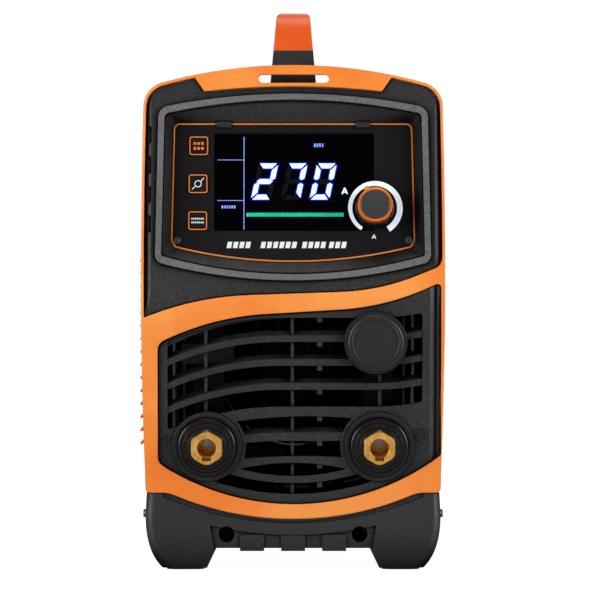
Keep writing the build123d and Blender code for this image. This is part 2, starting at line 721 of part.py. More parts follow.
# ---------------------------------------------------------------- bases, tray and casing
BASE_FLOOR = 15.1
BASE_WALL = 4.0
BASE_CORNER = 6.0             # rounding down the outer edges of the bases
HOLE_DEPTH = 11.0
RECESS_DEPTH = 1.8            # the bar between the feet is set back this far
FOOT_INNER = 58.5
FOOT_LENGTH = 72.0
BASE_FACE_Y = FACE_Y + 9.0
BASE_SCREW_SHARE = 0.905      # how far out along the base its side screws stand
PAD_HEIGHT = 1.5
TRAY_HEIGHT = BASE_FLOOR + BASE_WALL
TRAY_END = 204.0
BOSS_X = 46.0                 # screw bosses in the bar between the feet; the tray is notched around them

FRONT_BASE = Plane(origin=(0, BASE_FACE_Y, 0), x_dir=(1, 0, 0), z_dir=(0, -1, 0))
REAR_BASE = Plane(origin=(0, -BASE_FACE_Y, 0), x_dir=(-1, 0, 0), z_dir=(0, 1, 0))


def half_outline(side):
    """The outer edge of a foot and bar on one side, from the top down to the inside of the foot."""
    Line((side * 101.4, 53.2), (side * 102.2, 38))
    Spline((side * 102.2, 38), (side * 100.8, 22), (side * 97, 10.5), (side * 90.5, PAD_HEIGHT),
           tangents=((0, -1), (-side, -1)))
    Polyline((side * 90.5, PAD_HEIGHT), (side * (FOOT_INNER + 1), PAD_HEIGHT), (side * 53, BASE_FLOOR))
    Line((side * 86, 53.2), (side * 101.4, 53.2))


with BuildSketch() as base_outline:
    with BuildLine():
        half_outline(-1)
        half_outline(1)
        Line((-53, BASE_FLOOR), (53, BASE_FLOOR))
        ThreePointArc((-86, 53.2), (0, 34.9), (86, 53.2))
    make_face()
    fillet(base_outline.vertices().filter_by(lambda v: v.Y > 50 and abs(abs(v.X) - 86) < 1), 24)

with BuildSketch() as base_recess:
    with BuildLine():
        ThreePointArc((-57.8, 31), (0, 24.3), (57.8, 31))
        Polyline((57.8, 31), (54.5, 12), (-54.5, 12), (-57.8, 31))
    make_face()

with BuildSketch() as base_step:
    with BuildLine():
        ThreePointArc((-90, 55), (0, 34), (90, 55))
        ThreePointArc((-90, 50.5), (0, 32.2), (90, 50.5))
        Line((-90, 55), (-90, 50.5))
        Line((90, 55), (90, 50.5))
    make_face()

with BuildSketch() as feet_outline:
    add(base_outline.sketch)
    Rectangle(220, TRAY_HEIGHT, align=(Align.CENTER, Align.MIN), mode=Mode.INTERSECT)
    Rectangle(2 * 53, 60, mode=Mode.SUBTRACT)

for name, plane in (("front_base", FRONT_BASE), ("rear_base", REAR_BASE)):
    reach = abs(BASE_FACE_Y) - abs(FRAME_BACK_Y)
    with BuildPart() as base:
        plate_layer(base_outline.sketch, plane, reach)
        plate_layer(feet_outline.sketch, plane, FOOT_LENGTH)
        face = base.faces().sort_by(Axis.Y)[0 if plane.origin.Y < 0 else -1]
        fillet(face.edges().filter_by(lambda e: abs((e @ 0.5).X) > 88 and (e @ 0.5).Z < 52), BASE_CORNER)
        with BuildSketch(plane.offset(-BASE_WALL)):
            Rectangle(2 * (102.2 - BASE_WALL), 60, align=(Align.CENTER, Align.MIN))
            Rectangle(220, TRAY_HEIGHT, align=(Align.CENTER, Align.MIN), mode=Mode.SUBTRACT)
        extrude(amount=-FOOT_LENGTH, mode=Mode.SUBTRACT)
        with BuildSketch(plane):
            with Locations(*[(x, TRAY_HEIGHT - 4) for x in (-28.4, 0, 28.4)]):
                Rectangle(16.5, 12, align=(Align.CENTER, Align.MAX))
            Rectangle(220, 13.1, align=(Align.CENTER, Align.MIN), mode=Mode.SUBTRACT)
        extrude(amount=-20)
        plate_layer(base_step.sketch, plane, 0.9, Mode.SUBTRACT)
        plate_layer(base_recess.sketch, plane, RECESS_DEPTH, Mode.SUBTRACT)
        with BuildSketch(plane.offset(-0.7)):
            with Locations(*[(x, 13.1) for x in (-28.4, 0, 28.4)]):
                Rectangle(16.5, 11.2, align=(Align.CENTER, Align.MIN))
        extrude(amount=-2)
        with BuildSketch(plane.offset(-RECESS_DEPTH)):
            with Locations((-BOSS_X, 25.2), (BOSS_X, 25.2)):
                Circle(7.4)
            Rectangle(220, 60, align=(Align.CENTER, Align.MIN), mode=Mode.INTERSECT)
        extrude(amount=-HOLE_DEPTH)
        with BuildSketch(plane):
            with Locations((-BOSS_X, 24.6), (BOSS_X, 24.6)):
                Circle(5.6)
        extrude(amount=-HOLE_DEPTH, mode=Mode.SUBTRACT)
        with Locations(Plane.YZ.offset(-110)):
            with Locations((plane.origin.Y * BASE_SCREW_SHARE, 38.2)):
                Cylinder(2.1, 30, align=(Align.CENTER, Align.CENTER, Align.MIN), mode=Mode.SUBTRACT)
        with Locations(Plane.YZ.offset(80)):
            with Locations((plane.origin.Y * BASE_SCREW_SHARE, 38.2)):
                Cylinder(2.1, 30, align=(Align.CENTER, Align.CENTER, Align.MIN), mode=Mode.SUBTRACT)
    finish(base, name)

with BuildPart() as foot_pads:
    for y in (FRONT_BASE.origin.Y + 33, REAR_BASE.origin.Y - 33):
        with BuildSketch(Plane.XY):
            with Locations((-74.5, y), (74.5, y)):
                RectangleRounded(26, 50, 6)
        extrude(amount=PAD_HEIGHT)
finish(foot_pads, "foot_pads")

with BuildPart() as base_tray:
    box(-96, 96, -TRAY_END, TRAY_END, TRAY_HEIGHT, TRAY_HEIGHT + SHEET)
    for side in (-1, 1):
        box(min(side * 96, side * 94.5), max(side * 96, side * 94.5), -TRAY_END, TRAY_END,
            TRAY_HEIGHT + SHEET, 50)
    with BuildSketch(Plane.XY.offset(TRAY_HEIGHT)):
        with GridLocations(14, 9, 9, 9):
            SlotOverall(9, 3.4)
        with Locations(*[(x, end * (TRAY_END - 3.5)) for x in (-BOSS_X, BOSS_X) for end in (-1, 1)]):
            Rectangle(16.4, 7.4)
    extrude(amount=SHEET, mode=Mode.SUBTRACT)
    for end in (-1, 1):
        for side in (-80, 110):
            with Locations(Plane.YZ.offset(side)):
                with Locations((end * abs(BASE_FACE_Y) * BASE_SCREW_SHARE, 38.2)):
                    Cylinder(2.1, 30, align=(Align.CENTER, Align.CENTER, Align.MAX), mode=Mode.SUBTRACT)
finish(base_tray, "base_tray")


def cover_shape(inset):
    """The casing's cross-section: upright sides and a gently arched top."""
    half = COVER_HALF_WIDTH - inset
    top = COVER_TOP - inset
    with BuildSketch() as outline:
        with BuildLine():
            ThreePointArc((-half, top - 5), (0, top), (half, top - 5))
            Polyline((half, top - 5), (half, COVER_BOTTOM), (-half, COVER_BOTTOM), (-half, top - 5))
        make_face()
        fillet(outline.vertices().filter_by(lambda v: v.Y > 100), 17 - inset)
    return outline.sketch


LOUVRE_PITCH = 9.2
LOUVRE_REACH = 5.6
LOUVRE_LENGTH = 46.0
LOUVRE_FEET = [86.0 + row * LOUVRE_PITCH for row in range(15)]
COVER_SCREWS = [(y, z) for y in (-150, 150) for z in (60, 290)]
HANDLE_BOLTS = (-134, 104)

with BuildSketch() as louvre_hood:
    with BuildLine():
        Polyline((0, 6.4), (LOUVRE_REACH, 0.4), (LOUVRE_REACH, -1.2), (LOUVRE_REACH - 1.2, -1.2),
                 (LOUVRE_REACH - 1.2, -0.3), (-0.5, 5.1), (-0.5, 6.4), (0, 6.4))
    make_face()


def louvre_banks(side):
    """The middle of each bank of louvres on one side of the casing."""
    return (-136, -80, 80) if side < 0 else (-30, 28, 86)


with BuildPart() as cover:
    casing = Plane.XZ.offset(-REAR_FRAME_FRONT_Y)
    plate_layer(cover_shape(0), casing, FRAME_BACK_Y - REAR_FRAME_FRONT_Y)
    plate_layer(cover_shape(SHEET), casing, FRAME_BACK_Y - REAR_FRAME_FRONT_Y, Mode.SUBTRACT)
    for side in (-1, 1):
        for bank in louvre_banks(side):
            wall = Plane(origin=(side * (COVER_HALF_WIDTH + 1), bank, 0), x_dir=(0, side, 0), z_dir=(side, 0, 0))
            with BuildSketch(wall):
                with Locations(*[(0, foot + 2.3) for foot in LOUVRE_FEET]):
                    Rectangle(LOUVRE_LENGTH, 4.6)
            extrude(amount=-4, mode=Mode.SUBTRACT)
            end = Plane(origin=(side * COVER_HALF_WIDTH, bank - side * LOUVRE_LENGTH / 2, 0),
                        x_dir=(side, 0, 0), z_dir=(0, -side, 0))
            with BuildSketch(end):
                with Locations(*[(0, foot) for foot in LOUVRE_FEET]):
                    add(louvre_hood.sketch)
            extrude(amount=-LOUVRE_LENGTH)
    for y, z in COVER_SCREWS:
        with Locations(Plane(origin=(0, y, z), x_dir=(0, 1, 0), z_dir=(1, 0, 0))):
            Cylinder(2.1, 300, mode=Mode.SUBTRACT)
    with Locations(*[(0, y, COVER_TOP) for y in HANDLE_BOLTS]):
        Cylinder(3.2, 10, mode=Mode.SUBTRACT)
finish(cover, "cover")

# ---------------------------------------------------------------- handle
HANDLE_TOP = 391.5
HANDLE_FOOT = COVER_TOP + 0.05
GRIP_EDGE = 363.5

with BuildPart() as handle_form:
    with BuildSketch(Plane.YZ):
        with BuildLine():
            outer = FilletPolyline((-150, HANDLE_FOOT), (-136, HANDLE_TOP),
                                   (106, HANDLE_TOP), (120, HANDLE_FOOT), radius=19)
            inner = FilletPolyline((-122, HANDLE_FOOT), (-113, 371), (83, 371), (92, HANDLE_FOOT), radius=13)
            Line(outer @ 0, inner @ 0)
            Line(outer @ 1, inner @ 1)
        make_face()
    extrude(amount=20, both=True)
    with BuildSketch(Plane.XZ.offset(-200)) as handle_front:
        with BuildLine():
            Polyline((-16.8, HANDLE_FOOT), (16.8, HANDLE_FOOT), (11.6, HANDLE_TOP), (-11.6, HANDLE_TOP),
                     (-16.8, HANDLE_FOOT))
        make_face()
        fillet(handle_front.vertices().group_by(Axis.Z)[-1], 4.5)
    extrude(amount=400, mode=Mode.INTERSECT)

with BuildPart() as grip_zone:
    with BuildSketch(Plane.YZ):
        with BuildLine():
            Polyline((-160, GRIP_EDGE), (-133.5, GRIP_EDGE), (-128, 382.5), (98, 382.5), (103.5, GRIP_EDGE),
                     (130, GRIP_EDGE), (130, 400), (-160, 400), (-160, GRIP_EDGE))
        make_face()
    extrude(amount=30, both=True)

with BuildPart() as handle_bridge:
    add(handle_form.part)
    add(grip_zone.part, mode=Mode.SUBTRACT)
    with Locations(*[(0, y, HANDLE_FOOT) for y in HANDLE_BOLTS]):
        Cylinder(3.05, 24, mode=Mode.SUBTRACT)
finish(handle_bridge, "handle_bridge")

with BuildPart() as handle_grip:
    add(handle_form.part)
    add(grip_zone.part, mode=Mode.INTERSECT)
finish(handle_grip, "handle_grip")

with BuildPart() as handle_bolts:
    with BuildSketch(Plane.XY.offset(COVER_TOP - SHEET - 0.05)):
        with Locations(*[(0, y) for y in HANDLE_BOLTS]):
            RegularPolygon(5, 6, major_radius=False)
    extrude(amount=-4)
    with BuildSketch(Plane.XY.offset(COVER_TOP - SHEET - 0.05)):
        with Locations(*[(0, y) for y in HANDLE_BOLTS]):
            Circle(3)
    extrude(amount=13)
finish(handle_bolts, "handle_bolts")

# ---------------------------------------------------------------- rear end
REAR_SKIN = 4.0
REAR_RIM = 9.0
SWITCH_CENTRE = (-42, 275)    # seen from behind, x to the left
GLAND_CENTRE = (44, 275)
EARTH_CENTRE = (72, 90)
GLAND_BORE_RADIUS = 6.6
PANEL_BACK = REAR.offset(-3)
FAN_HOLE_RADIUS = 54.8        # a little less than the reach of the blades
FAN_SCREWS = [(x, FAN_HEIGHT + z) for x in (-52.5, 52.5) for z in (-52.5, 52.5)]

with BuildPart() as rear_frame:
    behind = Plane.XZ.offset(-REAR_FACE_Y)
    plate_layer(frame_shape(0), behind, REAR_FRAME_FRONT_Y - REAR_FACE_Y)
    chamfer(rear_frame.faces().sort_by(Axis.Y)[-1].edges(), 2)
    inside = behind.offset(REAR_SKIN)
    plate_layer(frame_shape(FRAME_WALL), inside, REAR_FRAME_FRONT_Y - REAR_FACE_Y, Mode.SUBTRACT)
    plate_layer(frame_shape(REAR_RIM), behind.offset(REAR_SKIN + 2), REAR_SKIN + 4, Mode.SUBTRACT)
    add(roof(REAR_FRAME_FRONT_Y, REAR_FACE_Y - REAR_SKIN - 5.5))
    add(side_strips(REAR_FRAME_FRONT_Y, REAR_FRAME_FRONT_Y + 2.5))
finish(rear_frame, "rear_frame")

with BuildPart() as rear_panel:
    with BuildSketch(REAR):
        add(frame_shape(REAR_RIM + 0.3))
        with Locations((0, FAN_HEIGHT)):
            Circle(FAN_HOLE_RADIUS, mode=Mode.SUBTRACT)
        with Locations(SWITCH_CENTRE):
            Rectangle(36.4, 50.4, mode=Mode.SUBTRACT)
        with Locations(GLAND_CENTRE):
            Circle(12.1, mode=Mode.SUBTRACT)
        with Locations(EARTH_CENTRE):
            Circle(3.1, mode=Mode.SUBTRACT)
        with Locations(*FAN_SCREWS):
            Circle(2.1, mode=Mode.SUBTRACT)
        with GridLocations(0, 9, 1, 5):
            with Locations((0, 236)):
                SlotOverall(110, 3.6, mode=Mode.SUBTRACT)
    extrude(amount=-3)
finish(rear_panel, "rear_panel")

with BuildPart() as fan_guard:
    with BuildSketch(REAR):
        with Locations((0, FAN_HEIGHT)):
            for radius in range(62, 13, -8):
                Circle(radius + 0.9)
                Circle(radius - 0.9, mode=Mode.SUBTRACT)
            with PolarLocations(35, 4, start_angle=45):
                Rectangle(54, 3)
            Circle(13)
        with Locations(*FAN_SCREWS):
            Circle(6)
            Circle(2.1, mode=Mode.SUBTRACT)
    extrude(amount=2.4)
finish(fan_guard, "fan_guard")

BASE_SCREWS = [(end * abs(BASE_FACE_Y) * BASE_SCREW_SHARE, 38.2) for end in (-1, 1)]


def screws(plane, spots, head_radius, head_height, length):
    """Screws with cross slots, their heads on a plane, in the part being built."""
    with BuildSketch(plane) as heads:
        with Locations(*spots):
            Circle(head_radius)
    extrude(heads.sketch, amount=head_height, taper=18)
    with BuildSketch(plane) as shanks:
        with Locations(*spots):
            Circle(2)
    extrude(shanks.sketch, amount=-length)
    with BuildSketch(plane.offset(head_height)) as slots:
        with Locations(*spots):
            Rectangle(3.4, 0.8)
            Rectangle(0.8, 3.4)
    extrude(slots.sketch, amount=-1.1, mode=Mode.SUBTRACT)


with BuildPart() as casing_screws:
    for side in (-1, 1):
        wall = Plane(origin=(side * (COVER_HALF_WIDTH + 0.05), 0, 0), x_dir=(0, side, 0), z_dir=(side, 0, 0))
        screws(wall, [(side * y, z) for y, z in BASE_SCREWS], 3.2, 2.0, 10)
        screws(wall, [(side * y, z) for y, z in COVER_SCREWS], 4.2, 2.2, 8)
    screws(REAR.offset(2.4), FAN_SCREWS, 3.8, 1.8, 12)
finish(casing_screws, "casing_screws")

FAN_DEPTH = 38.0
FAN_FRONT = PANEL_BACK.offset(-FAN_DEPTH)
FAN_AXLE = FAN_FRONT.shift_origin(FAN_FRONT.from_local_coords((0, FAN_HEIGHT, 0)))
BLADES = 9
BLADE_PITCH = 30.0            # lean of a blade, in degrees

with BuildPart() as blade:
    with BuildSketch(Plane.XY.rotated((BLADE_PITCH, 0, 0))):
        with BuildLine():
            Polyline((19, -11), (58, -25), (58, 25), (19, 11), (19, -11))
        make_face()
    extrude(amount=1, both=True)
    Cylinder(55.5, 40, mode=Mode.INTERSECT)

with BuildPart() as fan_frame:
    with BuildSketch(FAN_AXLE):
        RectangleRounded(FAN_SIZE - 1, FAN_SIZE - 1, 5)
        Circle(57, mode=Mode.SUBTRACT)
        with GridLocations(105, 105, 2, 2):
            Circle(2.1, mode=Mode.SUBTRACT)
    extrude(amount=FAN_DEPTH)
    with BuildSketch(FAN_AXLE):
        Circle(22)
        with PolarLocations(39, 4, start_angle=45):
            Rectangle(38, 5)
        Circle(2.55, mode=Mode.SUBTRACT)
    extrude(amount=4)
finish(fan_frame, "fan_frame")

with BuildPart() as fan_rotor:
    with BuildSketch(FAN_AXLE.offset(4.5)):
        Circle(21)
    extrude(amount=28)
    with BuildSketch(FAN_AXLE.offset(0.5)):
        Circle(2.5)
    extrude(amount=6)
    for turn in range(BLADES):
        add(FAN_AXLE.offset(18.5).location * Rotation(0, 0, turn * 360 / BLADES) * blade.part)
    fillet(fan_rotor.faces().sort_by(Axis.Y)[-1].edges(), 2)
finish(fan_rotor, "fan_rotor")

SWITCH = REAR.shift_origin(REAR.from_local_coords((*SWITCH_CENTRE, 0)))
LEVER_RADIUS = 6.0
LEVER_REST = -35.0            # the lever points this many degrees below level when off
LEVER_AXIS = SWITCH.offset(2.0)

with BuildPart() as power_switch:
    with BuildSketch(SWITCH):
        RectangleRounded(42, 56, 3)
    extrude(amount=3)
    with BuildSketch(SWITCH):
        Rectangle(36, 50)
    extrude(amount=-52)
    with BuildSketch(SWITCH.offset(3)):
        Rectangle(12.8, 24)
    extrude(amount=-9.6, mode=Mode.SUBTRACT)
    with BuildSketch(SWITCH.offset(-52)):
        with GridLocations(12, 38, 3, 2):
            Rectangle(8, 7)
    extrude(amount=6, mode=Mode.SUBTRACT)
finish(power_switch, "power_switch")

with BuildPart() as power_switch_lever:
    with Locations(LEVER_AXIS):
        Cylinder(LEVER_RADIUS, 12.2, rotation=(0, 90, 0))
        with Locations(Rotation(-LEVER_REST, 0, 0)):
            with Locations((0, 0, 9)):
                Box(10, 3.6, 14)
finish(power_switch_lever, "power_switch_lever")

GLAND = REAR.shift_origin(REAR.from_local_coords((*GLAND_CENTRE, 0)))

with BuildPart() as cable_gland:
    with BuildSketch(GLAND):
        RegularPolygon(14, 6, major_radius=False)
    extrude(amount=5)
    with BuildSketch(GLAND):
        Circle(12)
    extrude(amount=-14)
    with BuildSketch(GLAND.offset(5)):
        Circle(10)
    extrude(amount=8)
    with BuildSketch(GLAND.offset(13)):
        Circle(GLAND_BORE_RADIUS)
    extrude(amount=-27, mode=Mode.SUBTRACT)
finish(cable_gland, "cable_gland")

with BuildPart() as gland_cap:
    with BuildSketch(GLAND.offset(5.1)):
        RegularPolygon(13.2, 6, major_radius=False)
    extrude(amount=7)
    with BuildSketch(GLAND.offset(12.1)):
        Circle(13)
    extrude(amount=6.9, taper=24)
    with BuildSketch(GLAND.offset(5.1)):
        Circle(10.05)
    extrude(amount=7.95, mode=Mode.SUBTRACT)
    with BuildSketch(GLAND.offset(20)):
        Circle(GLAND_BORE_RADIUS)
    extrude(amount=-20, mode=Mode.SUBTRACT)
finish(gland_cap, "gland_cap")

with BuildPart() as gland_locknut:
    with BuildSketch(PANEL_BACK):
        with Locations(GLAND_CENTRE):
            RegularPolygon(15.5, 6, major_radius=False)
            Circle(12.05, mode=Mode.SUBTRACT)
    extrude(amount=-4.5)
finish(gland_locknut, "gland_locknut")

EARTH = REAR.shift_origin(REAR.from_local_coords((*EARTH_CENTRE, 0)))

with BuildPart() as earth_stud:
    with BuildSketch(EARTH.offset(12)):
        Circle(3)
    extrude(amount=-22)
    with BuildSketch(EARTH.offset(-3)):
        RegularPolygon(5, 6, major_radius=False)
    extrude(amount=-4)
finish(earth_stud, "earth_stud")

with BuildPart() as earth_nut:
    with BuildSketch(EARTH):
        Circle(6.5)
        Circle(3.05, mode=Mode.SUBTRACT)
    extrude(amount=1.2)
    with BuildSketch(EARTH.offset(1.2)):
        RegularPolygon(5, 6, major_radius=False)
        Circle(3.05, mode=Mode.SUBTRACT)
    extrude(amount=4.8)
finish(earth_nut, "earth_nut")

# ---------------------------------------------------------------- inside: deck, power board, cooling
DECK_SIZE = (172.0, 260.0)
DECK_CENTRE_Y = -14.0
BOARD_HEIGHT = DECK_HEIGHT + SHEET + 12.6
FIN_COUNT = 9
HEATSINKS = (-43.0, 43.0)     # one under each row of power modules
HEATSINK_Y = (-70.0, 90.0)
MODULES = [(x, y) for x in (-43, 43) for y in (-40, 20, 70)]
STANDOFFS = [(x, y) for x in (-76, 76) for y in (-108, 0, 98)]

with BuildPart() as inner_deck:
    with BuildSketch(Plane.XY.offset(DECK_HEIGHT)):
        with Locations((0, DECK_CENTRE_Y)):
            Rectangle(*DECK_SIZE)
        for x in HEATSINKS:
            with Locations((x, (HEATSINK_Y[0] + HEATSINK_Y[1]) / 2)):
                Rectangle(60, HEATSINK_Y[1] - HEATSINK_Y[0] - 10, mode=Mode.SUBTRACT)
    extrude(amount=SHEET)
    for side in (-1, 1):
        for y in (-130, 102):
            box(min(side * 86, side * 84.5), max(side * 86, side * 84.5), y, y + 14,
                TRAY_HEIGHT + SHEET, DECK_HEIGHT)
finish(inner_deck, "inner_deck")

with BuildPart() as heatsinks:
    for x in HEATSINKS:
        box(x - 33, x + 33, *HEATSINK_Y, DECK_HEIGHT - 6, DECK_HEIGHT)
        with BuildSketch(Plane.XY.offset(DECK_HEIGHT - 6)):
            with Locations((x, sum(HEATSINK_Y) / 2)):
                with GridLocations(64 / (FIN_COUNT - 1), 0, FIN_COUNT, 1):
                    Rectangle(2, HEATSINK_Y[1] - HEATSINK_Y[0])
        extrude(amount=-52)
finish(heatsinks, "heatsinks")

RECTIFIER_Y = (-140.0, -112.0)

with BuildPart() as power_modules:
    with BuildSketch(Plane.XY.offset(DECK_HEIGHT)):
        with Locations(*MODULES):
            Rectangle(30, 26)
    extrude(amount=BOARD_HEIGHT - DECK_HEIGHT)
    for x in (-SOCKET_X, 0, SOCKET_X):
        box(x - 14, x + 14, *RECTIFIER_Y, DECK_HEIGHT + SHEET, DECK_HEIGHT + SHEET + 11)
    box(30, 65, 30, 65, BOARD_HEIGHT + 1.6, BOARD_HEIGHT + 17)
finish(power_modules, "power_modules")

with BuildPart() as board_standoffs:
    with BuildSketch(Plane.XY.offset(DECK_HEIGHT + SHEET)):
        with Locations(*STANDOFFS):
            RegularPolygon(3.5, 6)
    extrude(amount=BOARD_HEIGHT - DECK_HEIGHT - SHEET)
finish(board_standoffs, "board_standoffs")

with BuildPart() as power_board:
    with BuildSketch(Plane.XY.offset(BOARD_HEIGHT)):
        with Locations((0, -5)):
            Rectangle(162, 220)
    extrude(amount=1.6)
finish(power_board, "power_board")

CAPACITORS = [(x, y) for x in (-55, -15) for y in (20, 62)]

with BuildPart() as mains_capacitors:
    with BuildSketch(Plane.XY.offset(BOARD_HEIGHT + 1.6)):
        with Locations(*CAPACITORS):
            Circle(17.5)
    extrude(amount=50)
    fillet(mains_capacitors.edges().filter_by(GeomType.CIRCLE).group_by(Axis.Z)[-1], 2)
    with BuildSketch(Plane.XY.offset(BOARD_HEIGHT + 51.6)):
        with Locations(*CAPACITORS):
            Rectangle(22, 1)
            Rectangle(1, 22)
    extrude(amount=-0.6, mode=Mode.SUBTRACT)
finish(mains_capacitors, "mains_capacitors")

# ---------------------------------------------------------------- inside: wound parts on the tray
WOUND_FLOOR = TRAY_HEIGHT + SHEET
CORE = (-42.0, -20.0)         # middle of the transformer
CHOKE = (44.0, -20.0)

with BuildPart() as transformer_core:
    with BuildSketch(Plane.XZ.offset(-CORE[1] - 17)):
        with Locations((CORE[0], WOUND_FLOOR)):
            Rectangle(70, 56, align=(Align.CENTER, Align.MIN))
        with Locations((CORE[0] - 20, WOUND_FLOOR + 28), (CORE[0] + 20, WOUND_FLOOR + 28)):
            Rectangle(18, 38, mode=Mode.SUBTRACT)
    extrude(amount=34)
finish(transformer_core, "transformer_core")

with BuildPart() as transformer_winding:
    with BuildSketch(Plane.XY.offset(WOUND_FLOOR + 10)):
        with Locations(CORE):
            RectangleRounded(56, 68, 12)
            Rectangle(23, 35, mode=Mode.SUBTRACT)
    extrude(amount=36)
finish(transformer_winding, "transformer_winding")

with BuildPart() as choke_core:
    with BuildSketch(Plane.XY.offset(WOUND_FLOOR + 3)):
        with Locations(CHOKE):
            Circle(30)
            Circle(18, mode=Mode.SUBTRACT)
    extrude(amount=24)
finish(choke_core, "choke_core")

CHOKE_TURNS = 20
COIL_WIRE = 2.2

with BuildPart() as choke_winding:
    with Locations((*CHOKE, WOUND_FLOOR + 15)):
        with PolarLocations(24, CHOKE_TURNS):
            Box(12 + 2 * COIL_WIRE, COIL_WIRE, 24 + 2 * COIL_WIRE)
            Box(12.1, COIL_WIRE, 24.1, mode=Mode.SUBTRACT)
finish(choke_winding, "choke_winding")

BAR_WIDTH = 20.0
BAR_THICKNESS = 3.0
BAR_TOP = DECK_HEIGHT + SHEET + 6
BAR_BEND_Y = SOCKETS["positive_socket"].origin.Y + SOCKET_BACK + 8 - (BAR_TOP - SOCKET_HEIGHT) * lean(TILT_DOWN)

with BuildPart() as busbars:
    for plane in SOCKETS.values():
        with BuildSketch(plane.offset(-SOCKET_BACK - 6.1)):
            with Locations((0, -12)):
                Rectangle(BAR_WIDTH, BAR_TOP + 11 - SOCKET_HEIGHT, align=(Align.CENTER, Align.MIN))
            Circle(3.1, mode=Mode.SUBTRACT)
        extrude(amount=-BAR_THICKNESS)
        box(plane.origin.X - BAR_WIDTH / 2, plane.origin.X + BAR_WIDTH / 2, BAR_BEND_Y, RECTIFIER_Y[0],
            BAR_TOP - BAR_THICKNESS - 2, BAR_TOP - 2)
finish(busbars, "busbars")

SENSOR = SOCKETS["positive_socket"].offset(-SOCKET_BACK - 6.1 - BAR_THICKNESS / 2)

with BuildPart() as current_sensor:
    with BuildSketch(SENSOR.offset(9)):
        with Locations((0, 62)):
            Rectangle(36, 14)
    extrude(amount=-18)
    with BuildSketch(SENSOR.offset(BAR_THICKNESS / 2 + 0.1)):
        with Locations((0, 62)):
            Rectangle(BAR_WIDTH + 0.2, 20)
    extrude(amount=-(BAR_THICKNESS + 0.2), mode=Mode.SUBTRACT)
finish(current_sensor, "current_sensor")
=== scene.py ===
"""The looks of a stick welding inverter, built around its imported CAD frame.

Lengths are in metres. The outlines of flat marks are in millimetres, and Plane.at turns them into metres.
"""

import json
import math

import bmesh
import bpy
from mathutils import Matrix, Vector


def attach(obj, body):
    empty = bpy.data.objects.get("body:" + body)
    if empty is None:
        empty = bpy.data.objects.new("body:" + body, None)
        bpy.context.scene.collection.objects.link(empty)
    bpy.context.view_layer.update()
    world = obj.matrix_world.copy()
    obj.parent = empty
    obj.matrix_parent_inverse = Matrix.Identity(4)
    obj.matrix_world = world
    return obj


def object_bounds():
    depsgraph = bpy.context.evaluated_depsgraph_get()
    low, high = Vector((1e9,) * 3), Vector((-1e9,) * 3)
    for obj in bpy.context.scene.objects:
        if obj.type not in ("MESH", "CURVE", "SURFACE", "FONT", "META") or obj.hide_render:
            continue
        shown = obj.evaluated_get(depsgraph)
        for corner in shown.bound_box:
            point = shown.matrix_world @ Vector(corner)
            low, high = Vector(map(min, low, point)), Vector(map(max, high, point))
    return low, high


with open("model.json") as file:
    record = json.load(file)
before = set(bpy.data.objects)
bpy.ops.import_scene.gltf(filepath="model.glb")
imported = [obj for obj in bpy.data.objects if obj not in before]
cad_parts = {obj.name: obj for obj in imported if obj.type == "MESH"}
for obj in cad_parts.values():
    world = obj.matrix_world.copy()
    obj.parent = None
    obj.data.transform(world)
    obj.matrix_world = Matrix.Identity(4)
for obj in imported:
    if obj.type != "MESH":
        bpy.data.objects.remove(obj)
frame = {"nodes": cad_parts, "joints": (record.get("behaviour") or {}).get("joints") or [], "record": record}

CAD_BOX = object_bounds()
MM = 0.001


# ---------------------------------------------------------------- colours

def rgb(code):
    """A linear colour from the usual six-figure screen colour."""
    parts = [int(code[i:i + 2], 16) / 255 for i in (0, 2, 4)]
    linear = [p / 12.92 if p <= 0.04045 else ((p + 0.055) / 1.055) ** 2.4 for p in parts]
    return (*linear, 1.0)


ORANGE = "F58028"
ORANGE_LIGHT = "FC9C48"
GRIP_ORANGE = "DC5412"
COVER_ORANGE = "EE7A24"
BLACK = "19191A"
BLACK_LIGHT = "222223"
PLATE = "0F0F10"
BEZEL = "515151"
WHITE_INK = "F1F2F2"
ORANGE_INK = "EE7A2C"
DUST = "A39C92"
SPECKS = "8C8D90"
# painted shade colour for corners and recesses
PAINTED_CORNER_SHADE = "050505"
# painted shade colour for the inner faces
INSIDE_SHADE = "0C0C0D"


# ---------------------------------------------------------------- materials

CASING_MIDDLE = (0, 0, 0.19)    # faces that look towards this point are hidden ones and get painted shade
CORNER_REACH = 35 * MM          # how near a surface has to be for painted shade in a corner
DEEPEST_CORNER = 0.45           # open share at which the painted corner shade is darkest
DEEP_SHADE = 0.5                # plastics with more painted shade than this also lose their shine in corners, as painted shade
CORNER_SHINE = 0.04             # the shine that is left there


